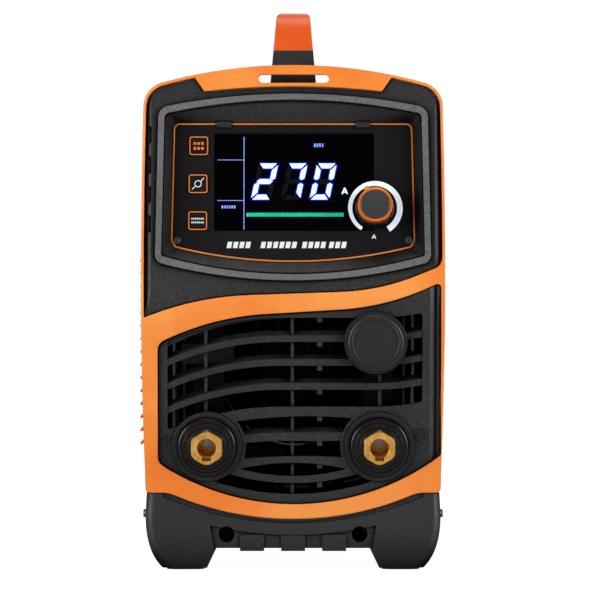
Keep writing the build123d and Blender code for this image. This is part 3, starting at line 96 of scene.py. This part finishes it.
class Surface:
    """A material being wired up: it keeps the shader at its end and the place each texture is read at."""

    def __init__(self, name):
        self.material = bpy.data.materials.new(name)
        self.material.use_nodes = True
        self.tree = self.material.node_tree
        self.tree.nodes.clear()
        self.shader = self.add("ShaderNodeBsdfPrincipled")
        output = self.add("ShaderNodeOutputMaterial")
        self.join(self.shader.outputs["BSDF"], output.inputs["Surface"])
        self.place = self.add("ShaderNodeTexCoord").outputs["Object"]
        self.normal = None

    def add(self, kind):
        """A new node of that kind."""
        return self.tree.nodes.new(kind)

    def join(self, start, end):
        """Links an output to an input."""
        self.tree.links.new(start, end)

    def feed(self, socket, value):
        """Gives a socket either a constant or another node's output."""
        if isinstance(value, bpy.types.NodeSocket):
            self.join(value, socket)
        else:
            socket.default_value = value

    def stretched(self, along):
        """The texture place, with each axis divided by its own length, so that a pattern is drawn out."""
        node = self.add("ShaderNodeMapping")
        self.join(self.place, node.inputs["Vector"])
        node.inputs["Scale"].default_value = along
        return node.outputs["Vector"]

    def noise(self, size, detail=2.0, place=None):
        """Smooth noise about as coarse as size."""
        node = self.add("ShaderNodeTexNoise")
        self.join(place or self.place, node.inputs["Vector"])
        node.inputs["Scale"].default_value = 1 / size
        node.inputs["Detail"].default_value = detail
        return node.outputs["Fac"]

    def scaled(self, value, low, high, to_low=0.0, to_high=1.0):
        """A value moved from one range to another, and held inside it."""
        node = self.add("ShaderNodeMapRange")
        self.join(value, node.inputs["Value"])
        node.inputs["From Min"].default_value = low
        node.inputs["From Max"].default_value = high
        node.inputs["To Min"].default_value = to_low
        node.inputs["To Max"].default_value = to_high
        return node.outputs["Result"]

    def times(self, first, second):
        """The product of two values."""
        node = self.add("ShaderNodeMath")
        node.operation = "MULTIPLY"
        self.feed(node.inputs[0], first)
        self.feed(node.inputs[1], second)
        return node.outputs["Value"]

    def between(self, share, first, second):
        """A colour that goes from first to second with share."""
        first_colour, second_colour, mixed_colour = 6, 7, 2     # a mix node's sockets for colours
        node = self.add("ShaderNodeMix")
        node.data_type = "RGBA"
        self.feed(node.inputs["Factor"], share)
        self.feed(node.inputs[first_colour], first)
        self.feed(node.inputs[second_colour], second)
        return node.outputs[mixed_colour]

    def upward(self):
        """How far the surface faces up: 1 on a floor, 0 on a wall."""
        geometry = self.add("ShaderNodeNewGeometry")
        parts = self.add("ShaderNodeSeparateXYZ")
        self.join(geometry.outputs["Normal"], parts.inputs["Vector"])
        return self.scaled(parts.outputs["Z"], 0.35, 1.0)

    def hidden_side(self):
        """1 on faces that look in at the middle of the machine, 0 on faces that look out: the mask for
        painted inside shade.
        """
        geometry = self.add("ShaderNodeNewGeometry")
        offset = self.add("ShaderNodeVectorMath")
        offset.operation = "SUBTRACT"
        self.join(geometry.outputs["Position"], offset.inputs[0])
        offset.inputs[1].default_value = CASING_MIDDLE
        facing = self.add("ShaderNodeVectorMath")
        facing.operation = "DOT_PRODUCT"
        self.join(geometry.outputs["Normal"], facing.inputs[0])
        self.join(offset.outputs["Vector"], facing.inputs[1])
        return self.scaled(facing.outputs["Value"], 0, -0.01)

    def painted_shade_mask(self, reach, deepest):
        """How far nearby surfaces close a place in, the mask for painted shade: 0 in the open, 1 where only
        the share deepest is open.
        """
        node = self.add("ShaderNodeAmbientOcclusion")
        node.samples = 8
        node.inputs["Distance"].default_value = reach
        return self.scaled(node.outputs["AO"], 0.95, deepest)

    def rounded(self, radius):
        """Shades edges as if they were rounded off by a radius."""
        node = self.add("ShaderNodeBevel")
        node.samples = 6
        node.inputs["Radius"].default_value = radius
        self.normal = node.outputs["Normal"]

    def bump(self, height, depth, strength=1.0):
        """Relief of that depth, added over any relief before it."""
        node = self.add("ShaderNodeBump")
        node.inputs["Distance"].default_value = depth
        node.inputs["Strength"].default_value = strength
        self.join(height, node.inputs["Height"])
        if self.normal:
            self.join(self.normal, node.inputs["Normal"])
        self.normal = node.outputs["Normal"]

    def done(self, colour, roughness, **constants):
        """Feeds the shader, with the constants on its own sockets, and gives the material."""
        self.feed(self.shader.inputs["Base Color"], colour)
        self.feed(self.shader.inputs["Roughness"], roughness)
        if self.normal:
            self.join(self.normal, self.shader.inputs["Normal"])
        for name, value in constants.items():
            self.shader.inputs[name.replace("_", " ")].default_value = value
        return self.material


def moulded_plastic(name, base, light, rough=0.45, grain=0.9 * MM, depth=0.02 * MM, dust=0.10, speck=0.0,
                    edge=0.6 * MM, shade=0.12, shine=0.5, shade_painted_inside=False,
                    reach=CORNER_REACH, deepest=DEEPEST_CORNER):
    """Plastic from a textured mould, with dust on top and painted shade in its corners.

    grain and depth are the mould's texture, speck its pale flecks, edge the rounding, shade how dark the
    painted corner shade gets, and shine the gloss. The flag for the inside paints the hidden side black as
    painted shade.
    """
    s = Surface(name)
    s.rounded(edge)
    tone = s.scaled(s.noise(60 * MM, 3), 0.35, 0.65)
    colour = s.between(tone, rgb(base), rgb(light))
    if speck:
        spots = s.scaled(s.noise(grain, 1), 0.50, 0.62, 0, speck)
        colour = s.between(spots, colour, rgb(SPECKS))
    dirt = s.times(s.upward(), s.scaled(s.noise(9 * MM, 4), 0.45, 0.75, 0, dust))
    colour = s.between(dirt, colour, rgb(DUST))
    # painted shade: the colour darkens towards near-black where nearby surfaces close a place in, and deeply
    # shaded plastics lose their shine there too
    painted_shade_share = s.painted_shade_mask(reach, deepest)
    colour = s.between(s.times(painted_shade_share, shade), colour, rgb(PAINTED_CORNER_SHADE))
    # painted shade: faces that look in at the middle of the machine turn near-black, standing in for the
    # shade inside
    if shade_painted_inside:
        colour = s.between(s.hidden_side(), colour, rgb(INSIDE_SHADE))
    if shade > DEEP_SHADE:
        s.feed(s.shader.inputs["Specular IOR Level"], s.scaled(painted_shade_share, 0, 1, shine, CORNER_SHINE))
    scuffs = s.scaled(s.noise(2.5 * MM, 4, s.stretched((1, 1, 0.25))), 0.58, 0.70, rough, rough + 0.12)
    s.bump(s.noise(grain, 2), depth)
    s.shader.inputs["Specular IOR Level"].default_value = shine
    return s.done(colour, scuffs)


def powder_coat(name, base, light, worn, rough=0.38):
    """Baked powder paint on sheet steel, with orange-peel ripple, a few places of the worn colour and painted
    shade inside.
    """
    s = Surface(name)
    s.rounded(0.5 * MM)
    tone = s.scaled(s.noise(90 * MM, 3), 0.35, 0.65)
    colour = s.between(tone, rgb(base), rgb(light))
    rubbed = s.scaled(s.noise(6 * MM, 5), 0.68, 0.80, 0, 0.18)
    colour = s.between(rubbed, colour, rgb(worn))
    dirt = s.times(s.upward(), s.scaled(s.noise(11 * MM, 4), 0.45, 0.75, 0, 0.16))
    colour = s.between(dirt, colour, rgb(DUST))
    # painted shade: faces that look in at the middle of the machine turn near-black, standing in for the
    # shade inside
    colour = s.between(s.hidden_side(), colour, rgb(INSIDE_SHADE))
    s.bump(s.noise(1.6 * MM, 1), 0.05 * MM)
    s.bump(s.noise(0.35 * MM, 1), 0.008 * MM)
    roughness = s.scaled(s.noise(7 * MM, 3), 0.3, 0.7, rough - 0.06, rough + 0.10)
    return s.done(colour, roughness, Coat_Weight=0.15)


def bare_metal(name, base, light, rough=0.3, brush=(1, 1, 1), grain=0.5 * MM, stain="6B5A3C", stained=0.12,
               metallic=1.0):
    """Turned, rolled or plated metal: tool marks drawn out along one way, and slight staining."""
    s = Surface(name)
    s.rounded(0.35 * MM)
    tone = s.scaled(s.noise(5 * MM, 4), 0.3, 0.7)
    colour = s.between(tone, rgb(base), rgb(light))
    marks = s.scaled(s.noise(2.2 * MM, 5), 0.58, 0.75, 0, stained)
    colour = s.between(marks, colour, rgb(stain))
    lines = s.noise(grain, 3, s.stretched(brush))
    s.bump(lines, 0.012 * MM)
    roughness = s.scaled(lines, 0.3, 0.7, rough - 0.07, rough + 0.12)
    return s.done(colour, roughness, Metallic=metallic)


def glossy_panel(name, base, light):
    """The smoked window over the display: glossy, with fine wipe marks and a little dust."""
    s = Surface(name)
    colour = s.between(s.scaled(s.noise(30 * MM, 2), 0.3, 0.7), rgb(base), rgb(light))
    wipes = s.scaled(s.noise(1.2 * MM, 5, s.stretched((0.12, 1, 1))), 0.55, 0.75, 0.10, 0.22)
    return s.done(colour, wipes, Specular_IOR_Level=0.12)


def printed_ink(name, code, rough=0.5):
    """Screen-printed ink, very slightly uneven."""
    s = Surface(name)
    thin = s.scaled(s.noise(0.8 * MM, 3), 0.35, 0.75, 0, 0.14)
    colour = s.between(thin, rgb(code), rgb("6F6F70"))
    s.bump(s.noise(0.4 * MM, 2), 0.01 * MM)
    return s.done(colour, s.scaled(s.noise(3 * MM, 2), 0.3, 0.7, rough - 0.05, rough + 0.1))


def lit_segment(name, code, edge, power):
    """A lit display segment: brighter and paler in patches, as a backlight shows through."""
    s = Surface(name)
    glow = s.between(s.scaled(s.noise(2.4 * MM, 2), 0.3, 0.7), rgb(code), rgb(edge))
    s.join(glow, s.shader.inputs["Emission Color"])
    return s.done(glow, s.scaled(s.noise(2 * MM, 2), 0.3, 0.7, 0.25, 0.35), Emission_Strength=power)


def circuit_board(name):
    """Green solder mask over copper tracks."""
    s = Surface(name)
    tracks = s.scaled(s.noise(4 * MM, 2, s.stretched((1, 0.2, 1))), 0.50, 0.53)
    colour = s.between(tracks, rgb("0E4A2A"), rgb("1B6B3F"))
    return s.done(colour, s.scaled(s.noise(3 * MM, 3), 0.3, 0.7, 0.3, 0.45))


def wound_wire(name, base, light, pitch):
    """Enamelled wire laid side by side."""
    s = Surface(name)
    node = s.add("ShaderNodeTexWave")
    s.join(s.place, node.inputs["Vector"])
    node.inputs["Scale"].default_value = 0.3 / pitch
    node.bands_direction = "Y"
    turns = node.outputs["Fac"]
    colour = s.between(s.scaled(turns, 0, 1, 0, 0.6), rgb(light), rgb(base))
    s.bump(turns, 0.4 * pitch)
    return s.done(colour, s.scaled(s.noise(3 * MM, 3), 0.3, 0.7, 0.3, 0.5), Metallic=0.6)


# shade below sets how dark each plastic's painted corner shade gets
MATERIALS = {
    "orange_plastic": moulded_plastic("orange_plastic", ORANGE, ORANGE_LIGHT, rough=0.42, dust=0.05,
                                      edge=1.6 * MM),
    "orange_grip": moulded_plastic("orange_grip", GRIP_ORANGE, "E8601A", rough=0.40, dust=0.05,
                                   edge=1.5 * MM),
    "orange_steel": powder_coat("orange_steel", COVER_ORANGE, "F17F2A", worn="B9622A"),
    "black_plastic": moulded_plastic("black_plastic", BLACK, BLACK_LIGHT, rough=0.46, grain=0.6 * MM,
                                     depth=0.05 * MM, speck=0.13, shade=0.85),
    "black_steel": powder_coat("black_steel", BLACK, BLACK_LIGHT, worn="3B3B3D", rough=0.42),
    "switch_lever": moulded_plastic("switch_lever", "151516", "1F1F21", rough=0.3, dust=0.03),
    "module_plastic": moulded_plastic("module_plastic", "101012", "1C1C1E", rough=0.5),
    "plate_grey": moulded_plastic("plate_grey", PLATE, "141416", rough=0.5, grain=0.5 * MM, speck=0.03,
                                  shade=0.7, shine=0.15),
    "bezel_grey": moulded_plastic("bezel_grey", BEZEL, "646464", rough=0.42, grain=0.7 * MM,
                                  depth=0.08 * MM, speck=0.6, shade=0.6),
    "dark_glass": glossy_panel("dark_glass", "010102", "020205"),
    "zinc_steel": bare_metal("zinc_steel", "B4B6B8", "DADCDD", rough=0.32, metallic=0.8),
    "board_green": circuit_board("board_green"),
    "rubber": moulded_plastic("rubber", "131313", "222222", rough=0.75, grain=0.6 * MM, depth=0.03 * MM,
                              dust=0.25),
    "dark_screw": bare_metal("dark_screw", "4A4A4D", "626266", rough=0.36, stained=0.05, metallic=0.7),
    "brass": bare_metal("brass", "DC9A38", "FCCB70", rough=0.26, brush=(1, 0.15, 1), stain="7A4C12",
                        metallic=0.55),
    "copper": wound_wire("copper", "0E0705", "1A0E09", 1.6 * MM),
    "aluminium": bare_metal("aluminium", "1C1D1F", "2C2D30", rough=0.42, brush=(1, 0.1, 1), stained=0.05),
    "capacitor_sleeve": moulded_plastic("capacitor_sleeve", "14161B", "1E2128", rough=0.28, dust=0.03),
    "ferrite": moulded_plastic("ferrite", "2B2A2A", "383737", rough=0.6, grain=0.7 * MM, depth=0.03 * MM),
}
GLOSSY_BLACK = moulded_plastic("glossy_black", "08080A", "0E0E10", rough=0.22, depth=0.004 * MM, dust=0.03)
CAP_BLACK = moulded_plastic("cap_black", "1C1C1E", "262628", rough=0.36, grain=0.5 * MM, dust=0.04,
                            speck=0.06)
KNOB_GREY = moulded_plastic("knob_grey", "323335", "3E3F42", rough=0.34, grain=0.35 * MM, dust=0.04,
                            speck=0.05)
KNOB_ORANGE = moulded_plastic("knob_orange", "EC6E1C", "F68A34", rough=0.26, dust=0.03)
# the rear frame, with painted shade on its inner faces
ORANGE_SHADED_INSIDE = moulded_plastic("orange_shaded_inside", ORANGE, ORANGE_LIGHT, rough=0.42, dust=0.05, edge=1.6 * MM,
                               shade_painted_inside=True)
# the upper panel, with stronger painted shade that reaches farther into its recess
PANEL_BLACK = moulded_plastic("panel_black", BLACK, BLACK_LIGHT, rough=0.46, grain=0.6 * MM,
                              depth=0.05 * MM, speck=0.16, shade=0.95, reach=60 * MM, deepest=0.68)

# The nodes that look different from the others with their slot.
OWN_MATERIALS = {
    "upper_panel": PANEL_BLACK,
    "rear_frame": ORANGE_SHADED_INSIDE,
    "positive_socket_body": GLOSSY_BLACK,
    "negative_socket_body": GLOSSY_BLACK,
    "knob_skirt": GLOSSY_BLACK,
    "knob_sleeve": KNOB_ORANGE,
    "knob_face": KNOB_GREY,
    "connector_cap": CAP_BLACK,
    "connector_ring": CAP_BLACK,
}
WHITE = printed_ink("white_ink", WHITE_INK)
ORANGE_PRINT = printed_ink("orange_ink", ORANGE_INK)
DIGIT = lit_segment("lit_digit", "D8F0FF", "A8DCFF", 0.85)
# painted glow round the lit digits
DIGIT_HALO = lit_segment("digit_halo", "0810A0", "0E1AC0", 1.1)
# the knob's printed scale, given a painted glow so that it stays bright where shade falls on it
SCALE_PAINTED_GLOW = lit_segment("scale_print_painted_glow", "E4EEF4", "CBD8E2", 0.42)
UNLIT = lit_segment("unlit_segment", "030305", "05050A", 0.1)
BLUE_LINE = lit_segment("blue_line", "6E80DC", "8C9CEE", 0.6)
BLUE_MARK = lit_segment("blue_mark", "4A66F2", "86A0FF", 0.9)
BAR_TEAL = lit_segment("teal_bar", "045A44", "066E54", 0.4)
BAR_TICK = lit_segment("teal_tick", "0CB48C", "18CCA4", 0.6)


def dress(node, material):
    """Gives a CAD node one material for all its faces."""
    materials = frame["nodes"][node].data.materials
    materials.clear()
    materials.append(material)


def slots_of_nodes():
    """The material slot that the record gives each node."""
    return {part["node"]: part["material_slot"] for part in frame["record"]["subparts"]}


# ---------------------------------------------------------------- planes that marks lie on

class Plane:
    """A flat face: across is world X, up runs along the face, and out points away from it."""

    def __init__(self, point, out):
        self.point = Vector(point)
        self.out = Vector(out).normalized()
        self.across = Vector((1, 0, 0))
        self.up = self.out.cross(self.across)

    def at(self, x, y, lift=0.0):
        """The point at x and y on the face, raised by lift, all in millimetres."""
        return self.point + self.across * x * MM + self.up * y * MM + self.out * lift * MM

    def shifted(self, x, y, lift=0.0):
        """The same plane with its starting point moved, in millimetres."""
        return Plane(self.at(x, y, lift), self.out)


def joint(name):
    """The frame's joint of that name."""
    return next(j for j in frame["joints"] if j["name"] == name)


def mount(name):
    """The record's mount of that name."""
    return next(m for m in frame["record"]["mounts"] if m["name"] == name)


KNOB_X, KNOB_Y = 56.7, 64.1                 # the knob's place on the control plate
KNOB = Plane(joint("knob_turn")["pos_m"], joint("knob_turn")["axis"])
PANEL = KNOB.shifted(-KNOB_X, -KNOB_Y)      # control plate, heights from the panel's lower edge
SOCKET = Plane(mount("positive_socket")["pos_m"], mount("positive_socket")["axis"])
GRILLE = SOCKET.shifted(59.5, -85.5, 1.0)   # grille panel's face, heights from the floor

GLASS = 0.31        # lift from the control plate of marks on the display's glass, in millimetres
BUTTON_TOP = 0.71   # lift of marks on the push buttons


# ---------------------------------------------------------------- flat outlines, in millimetres

def disc(x, y, radius, count=40):
    """A circle as an outline of count points."""
    return [(x + radius * math.cos(2 * math.pi * i / count), y + radius * math.sin(2 * math.pi * i / count))
            for i in range(count)]


def bar(x0, x1, y0, y1, slant=0.0):
    """A rectangle, with its top moved right by slant for each unit of height."""
    shift = slant * (y1 - y0)
    return [(x0, y0), (x1, y0), (x1 + shift, y1), (x0 + shift, y1)]


def stroke(start, end, width):
    """A straight line drawn with a pen of that width."""
    (x0, y0), (x1, y1) = start, end
    length = math.hypot(x1 - x0, y1 - y0)
    nx, ny = -(y1 - y0) / length * width / 2, (x1 - x0) / length * width / 2
    return [(x0 + nx, y0 + ny), (x0 - nx, y0 - ny), (x1 - nx, y1 - ny), (x1 + nx, y1 + ny)]


def sweep(x, y, inner, outer, start, end, first=0.0, last=1.0, count=40):
    """A band round a point, from start to end in degrees.

    inner and outer give its radii for a share of the whole band, and the share goes from first to last.
    """
    steps = [i / count for i in range(count + 1)]
    rim = [(outer, step) for step in steps] + [(inner, step) for step in reversed(steps)]
    points = []
    for radius, step in rim:
        reach = radius(first + (last - first) * step)
        angle = math.radians(start + (end - start) * step)
        points.append((x + reach * math.cos(angle), y + reach * math.sin(angle)))
    return points


def round_square(x, y, half, radius, count=6):
    """A square of twice half a side, with count steps round each corner."""
    points = []
    for corner in range(4):
        turn = math.radians(90 * corner)
        cx = (half - radius) * (1 if corner in (0, 3) else -1)
        cy = (half - radius) * (1 if corner in (0, 1) else -1)
        for i in range(count + 1):
            angle = turn + math.radians(90) * i / count
            points.append((x + cx + radius * math.cos(angle), y + cy + radius * math.sin(angle)))
    return points


def framed(outer, inner):
    """The pieces of a band between two outlines with the same number of points."""
    count = len(outer)
    return [[outer[i], outer[(i + 1) % count], inner[(i + 1) % count], inner[i]] for i in range(count)]


# ---------------------------------------------------------------- new pieces

def marking(name, plane, outlines, material, body="root", lift=0.02, height=0.08):
    """Thin raised print: each outline becomes a low slab that stands on the plane."""
    mesh = bmesh.new()
    for outline in outlines:
        low = [mesh.verts.new(plane.at(x, y, lift)) for x, y in outline]
        high = [mesh.verts.new(plane.at(x, y, lift + height)) for x, y in outline]
        mesh.faces.new(high)
        mesh.faces.new(low[::-1])
        for i in range(len(low)):
            j = (i + 1) % len(low)
            mesh.faces.new((low[i], low[j], high[j], high[i]))
    bmesh.ops.recalc_face_normals(mesh, faces=mesh.faces)
    data = bpy.data.meshes.new(name)
    mesh.to_mesh(data)
    mesh.free()
    piece = bpy.data.objects.new(name, data)
    bpy.context.scene.collection.objects.link(piece)
    data.materials.append(material)
    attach(piece, body)
    return piece


# The display: three leaning seven-segment digits, a bar graph and thin rules.

DIGIT_WIDTH, DIGIT_HEIGHT, DIGIT_STROKE, DIGIT_GAP = 13.6, 25.3, 3.4, 0.35
DIGIT_LEFTS, DIGIT_FOOT, DIGIT_LEAN = (-29.2, -8.9, 11.4), 70.0, math.tan(math.radians(12))
# painted glow: blue emitting bands this wide round the lit segments stand in for their glare
HALO_WIDTH = 0.7
LIT = {"2": "abged", "7": "abc", "0": "abcdef"}


def seven_segments(grow=0.0):
    """The seven outlines of one upright digit with its lower left corner at 0, 0, each grown by grow."""
    w, h, t, g = DIGIT_WIDTH, DIGIT_HEIGHT, DIGIT_STROKE, DIGIT_GAP - grow
    mid = h / 2
    top = [(0.6 + g, h + grow), (w - 0.6 - g, h + grow),
           (w - t - g - grow, h - t - grow), (t + g + grow, h - t - grow)]
    upper_left = [(-grow, h - 0.9 - g), (t + grow, h - t - 1.1 - g), (t + grow, mid + 1.9 + g),
                  (t / 2, mid + 0.7 + g), (-grow, mid + 1.9 + g)]
    middle = [(0.9 + g, mid), (t - 0.6 + g, mid + t / 2 + grow), (w - t + 0.6 - g, mid + t / 2 + grow),
              (w - 0.9 - g, mid), (w - t + 0.6 - g, mid - t / 2 - grow), (t - 0.6 + g, mid - t / 2 - grow)]

    def flipped(points):
        return [(x, h - y) for x, y in points]

    def mirrored(points):
        return [(w - x, y) for x, y in points]

    return {"a": top, "d": flipped(top), "g": middle, "f": upper_left, "e": flipped(upper_left),
            "b": mirrored(upper_left), "c": mirrored(flipped(upper_left))}


def placed(points, left):
    """A digit's outline leaned over and set in its place on the display."""
    return [(left + x + y * DIGIT_LEAN, DIGIT_FOOT + y) for x, y in points]


def display():
    """Everything that shows on the display."""
    lit, halo, unlit = [], [], []
    for figure, left in zip("270", DIGIT_LEFTS):
        for name, outline in seven_segments().items():
            group = lit if name in LIT[figure] else unlit
            group.append(placed(outline, left))
        for name, outline in seven_segments(HALO_WIDTH).items():
            if name in LIT[figure]:
                halo.append(placed(outline, left))
    marking("lcd_unlit", PANEL, unlit, UNLIT, lift=GLASS, height=0.03)
    marking("lcd_halo", PANEL, halo, DIGIT_HALO, lift=GLASS, height=0.05)
    marking("lcd_digits", PANEL, lit, DIGIT, lift=GLASS, height=0.10)

    rules = [bar(-34.3, -33.8, 48.9, 114.0)]
    rules += [bar(-52.5, -34.3, v - 0.2, v + 0.2) for v in (97.8, 69.3)]
    marking("lcd_rules", PANEL, rules, BLUE_LINE, lift=GLASS, height=0.05)

    ampere = [stroke((34.0, 73.9), (35.8, 78.1), 0.95), stroke((37.6, 73.9), (35.8, 78.1), 0.95),
              stroke((34.7, 75.2), (36.9, 75.2), 0.8)]
    marking("lcd_ampere", PANEL, ampere, DIGIT, lift=GLASS, height=0.08)

    marks = [bar(-49.5 + 1.7 * i, -48.5 + 1.7 * i, 63.8, 65.8) for i in range(6)]
    marks += [bar(14.6 + 1.8 * i, 15.6 + 1.8 * i, 107.0, 109.4) for i in range(4)]
    marking("lcd_marks", PANEL, marks, BLUE_MARK, lift=GLASS, height=0.05)

    marking("lcd_bar", PANEL, [bar(-32.3, 35.1, 58.2, 60.5)], BAR_TEAL, lift=GLASS, height=0.03)
    tick_pitch, tick_count = 1.41, 48
    ticks = [bar(-32.2 + tick_pitch * i, -31.35 + tick_pitch * i, 58.0, 60.7) for i in range(tick_count)]
    marking("lcd_ticks", PANEL, ticks, BAR_TICK, lift=GLASS, height=0.07)


# The control plate: printed scale, unit letter and a strip of plain slanted dashes.

def plate_print():
    """The knob's scale, which widens as it goes round, with the print below it."""
    scale_start, glass_edge, scale_end = 238, 93, -58       # in degrees

    def inner(share):
        return 15.8 - 0.5 * share

    def outer(share):
        return 18.3 + 1.2 * share

    over_pane = sweep(KNOB_X, KNOB_Y, inner, outer, scale_start, glass_edge, 0.0, 0.5)
    over_plate = sweep(KNOB_X, KNOB_Y, inner, outer, glass_edge, scale_end, 0.5, 1.0)
    marking("knob_scale_left", PANEL, [over_pane], SCALE_PAINTED_GLOW, lift=GLASS)
    marking("knob_scale_right", PANEL, [over_plate], SCALE_PAINTED_GLOW)
    ampere = [stroke((54.7, 42.6), (56.0, 45.4), 0.65), stroke((57.3, 42.6), (56.0, 45.4), 0.65),
              stroke((55.2, 43.4), (56.8, 43.4), 0.5)]
    marking("knob_ampere", PANEL, ampere, WHITE)
    dashes = []
    pitch, width = 4.3, 3.1
    for start, count in ((-46.0, 4), (-22.6, 6), (6.0, 4), (24.6, 3)):
        lefts = [start + pitch * i for i in range(count)]
        dashes += [bar(left, left + width, 36.0, 40.4, slant=0.2) for left in lefts]
    marking("plate_dashes", PANEL, dashes, WHITE)


BUTTONS = {"button_mode": (-65.5, 107.7), "button_electrode": (-65.9, 81.0), "button_settings": (-66.1, 55.1)}


def button_print():
    """An outline and a plain mark on each push button."""
    for body, (x, y) in BUTTONS.items():
        outline = framed(round_square(x, y, 6.5, 1.6), round_square(x, y, 5.8, 1.1))
        marking(body + "_outline", PANEL, outline, ORANGE_PRINT, body=body, lift=BUTTON_TOP)
    x, y = BUTTONS["button_mode"]
    rows = [bar(x - 3.6 + 2.6 * i, x - 1.8 + 2.6 * i, y + foot, y + foot + 1.9)
            for foot in (0.7, -2.8) for i in range(3)]
    marking("button_mode_mark", PANEL, rows, ORANGE_PRINT, body="button_mode", lift=BUTTON_TOP)
    x, y = BUTTONS["button_electrode"]
    circle = framed(disc(x, y, 2.5), disc(x, y, 1.9))
    rods = [stroke((x - 4.2, y - 4.0), (x - 1.5, y - 1.4), 0.6),
            stroke((x + 1.5, y + 1.4), (x + 4.2, y + 4.2), 0.6)]
    marking("button_electrode_mark", PANEL, circle + rods, WHITE, body="button_electrode", lift=BUTTON_TOP)
    x, y = BUTTONS["button_settings"]
    rows = [bar(x - 4.4 + 1.3 * i, x - 3.6 + 1.3 * i, y + foot, y + foot + 1.2)
            for foot in (0.8, -1.8) for i in range(7)]
    marking("button_settings_mark", PANEL, rows, WHITE, body="button_settings", lift=BUTTON_TOP)


# The grille panel: raised polarity marks beside the weld sockets, in the panel's own plastic.

def polarity_marks():
    """A plus by the left socket and a ringed minus by the right one."""
    x, y = -87.8, 89.8
    plus = [bar(x - 3, x + 3, y - 0.6, y + 0.6), bar(x - 0.6, x + 0.6, y - 3, y + 3)]
    x, y = 88.4, 93.6
    minus = framed(disc(x, y, 4.3), disc(x, y, 3.7)) + [bar(x - 2.2, x + 2.2, y - 0.5, y + 0.5)]
    for name, outlines in (("plus_mark", plus), ("minus_mark", minus)):
        piece = marking(name, GRILLE, outlines, MATERIALS["black_plastic"], lift=-0.1, height=0.8)


# ---------------------------------------------------------------- floor, light and camera

LAMPS = {       # place from the middle of the machine, side in metres, power in watts
    "top": ((0.0, -0.15, 1.55), 0.9, 8),
    "left": ((-1.45, -1.1, 0.35), 0.9, 24),
    "right": ((1.45, -1.1, 0.35), 0.9, 24),
    "rear": ((0.5, 1.8, 1.2), 1.4, 12),
}
FLOOR_GAP = 0.0005
FLOOR_GLOW = (0.97, 0.97, 0.97, 1)
WORLD_LIGHT, WORLD_SEEN = 0.08, 1.0     # the world's strength on surfaces, and as the camera sees it


def studio():
    """A white floor and background, with four soft lamps."""
    low, high = CAD_BOX
    floor_mesh = bpy.data.meshes.new("floor")
    mesh = bmesh.new()
    bmesh.ops.create_grid(mesh, x_segments=2, y_segments=2, size=40)
    mesh.to_mesh(floor_mesh)
    mesh.free()
    floor = bpy.data.objects.new("floor", floor_mesh)
    floor.location.z = low[2] - FLOOR_GAP
    bpy.context.scene.collection.objects.link(floor)
    s = Surface("pale_floor")
    tone = s.between(s.scaled(s.noise(0.5, 2), 0.3, 0.7), rgb("A8A8A8"), rgb("AEAEAE"))
    s.join(s.add("ShaderNodeLightPath").outputs["Is Camera Ray"], s.shader.inputs["Emission Strength"])
    floor_mesh.materials.append(s.done(tone, 0.9, Emission_Color=FLOOR_GLOW))

    world = bpy.data.worlds.new("studio")
    world.use_nodes = True
    nodes, links = world.node_tree.nodes, world.node_tree.links
    seen = nodes.new("ShaderNodeLightPath").outputs["Is Camera Ray"]
    strength = nodes.new("ShaderNodeMapRange")
    strength.inputs["To Min"].default_value = WORLD_LIGHT
    strength.inputs["To Max"].default_value = WORLD_SEEN
    links.new(seen, strength.inputs["Value"])
    links.new(strength.outputs["Result"], nodes["Background"].inputs["Strength"])
    nodes["Background"].inputs["Color"].default_value = (1, 1, 1, 1)
    bpy.context.scene.world = world

    middle = (Vector(low) + Vector(high)) / 2
    for name, (offset, size, power) in LAMPS.items():
        area_light(name, middle + Vector(offset), middle, size, power)


def area_light(name, place, target, size, power):
    """A square lamp that faces its target."""
    data = bpy.data.lights.new(name, "AREA")
    data.shape = "SQUARE"
    data.size = size
    data.energy = power
    lamp = bpy.data.objects.new(name, data)
    lamp.location = place
    lamp.rotation_euler = (target - place).to_track_quat("-Z", "Y").to_euler()
    bpy.context.scene.collection.objects.link(lamp)


CAMERA_PLACE = (0.0048, -2.719, 0.1866)
CAMERA_LENS, CAMERA_SENSOR = 217.9, 36      # in millimetres


def photograph_view():
    """A long lens straight on at the front, level with the middle of the casing."""
    data = bpy.data.cameras.new("camera")
    data.sensor_width = CAMERA_SENSOR
    data.lens = CAMERA_LENS
    camera = bpy.data.objects.new("camera", data)
    camera.location = CAMERA_PLACE
    camera.rotation_euler = (math.radians(90), 0, 0)
    bpy.context.scene.collection.objects.link(camera)
    bpy.context.scene.camera = camera
    bpy.context.scene.view_settings.view_transform = "Standard"


# ---------------------------------------------------------------- putting it together

for node, slot in slots_of_nodes().items():
    dress(node, OWN_MATERIALS.get(node, MATERIALS[slot]))
display()
plate_print()
button_print()
polarity_marks()
studio()
photograph_view()
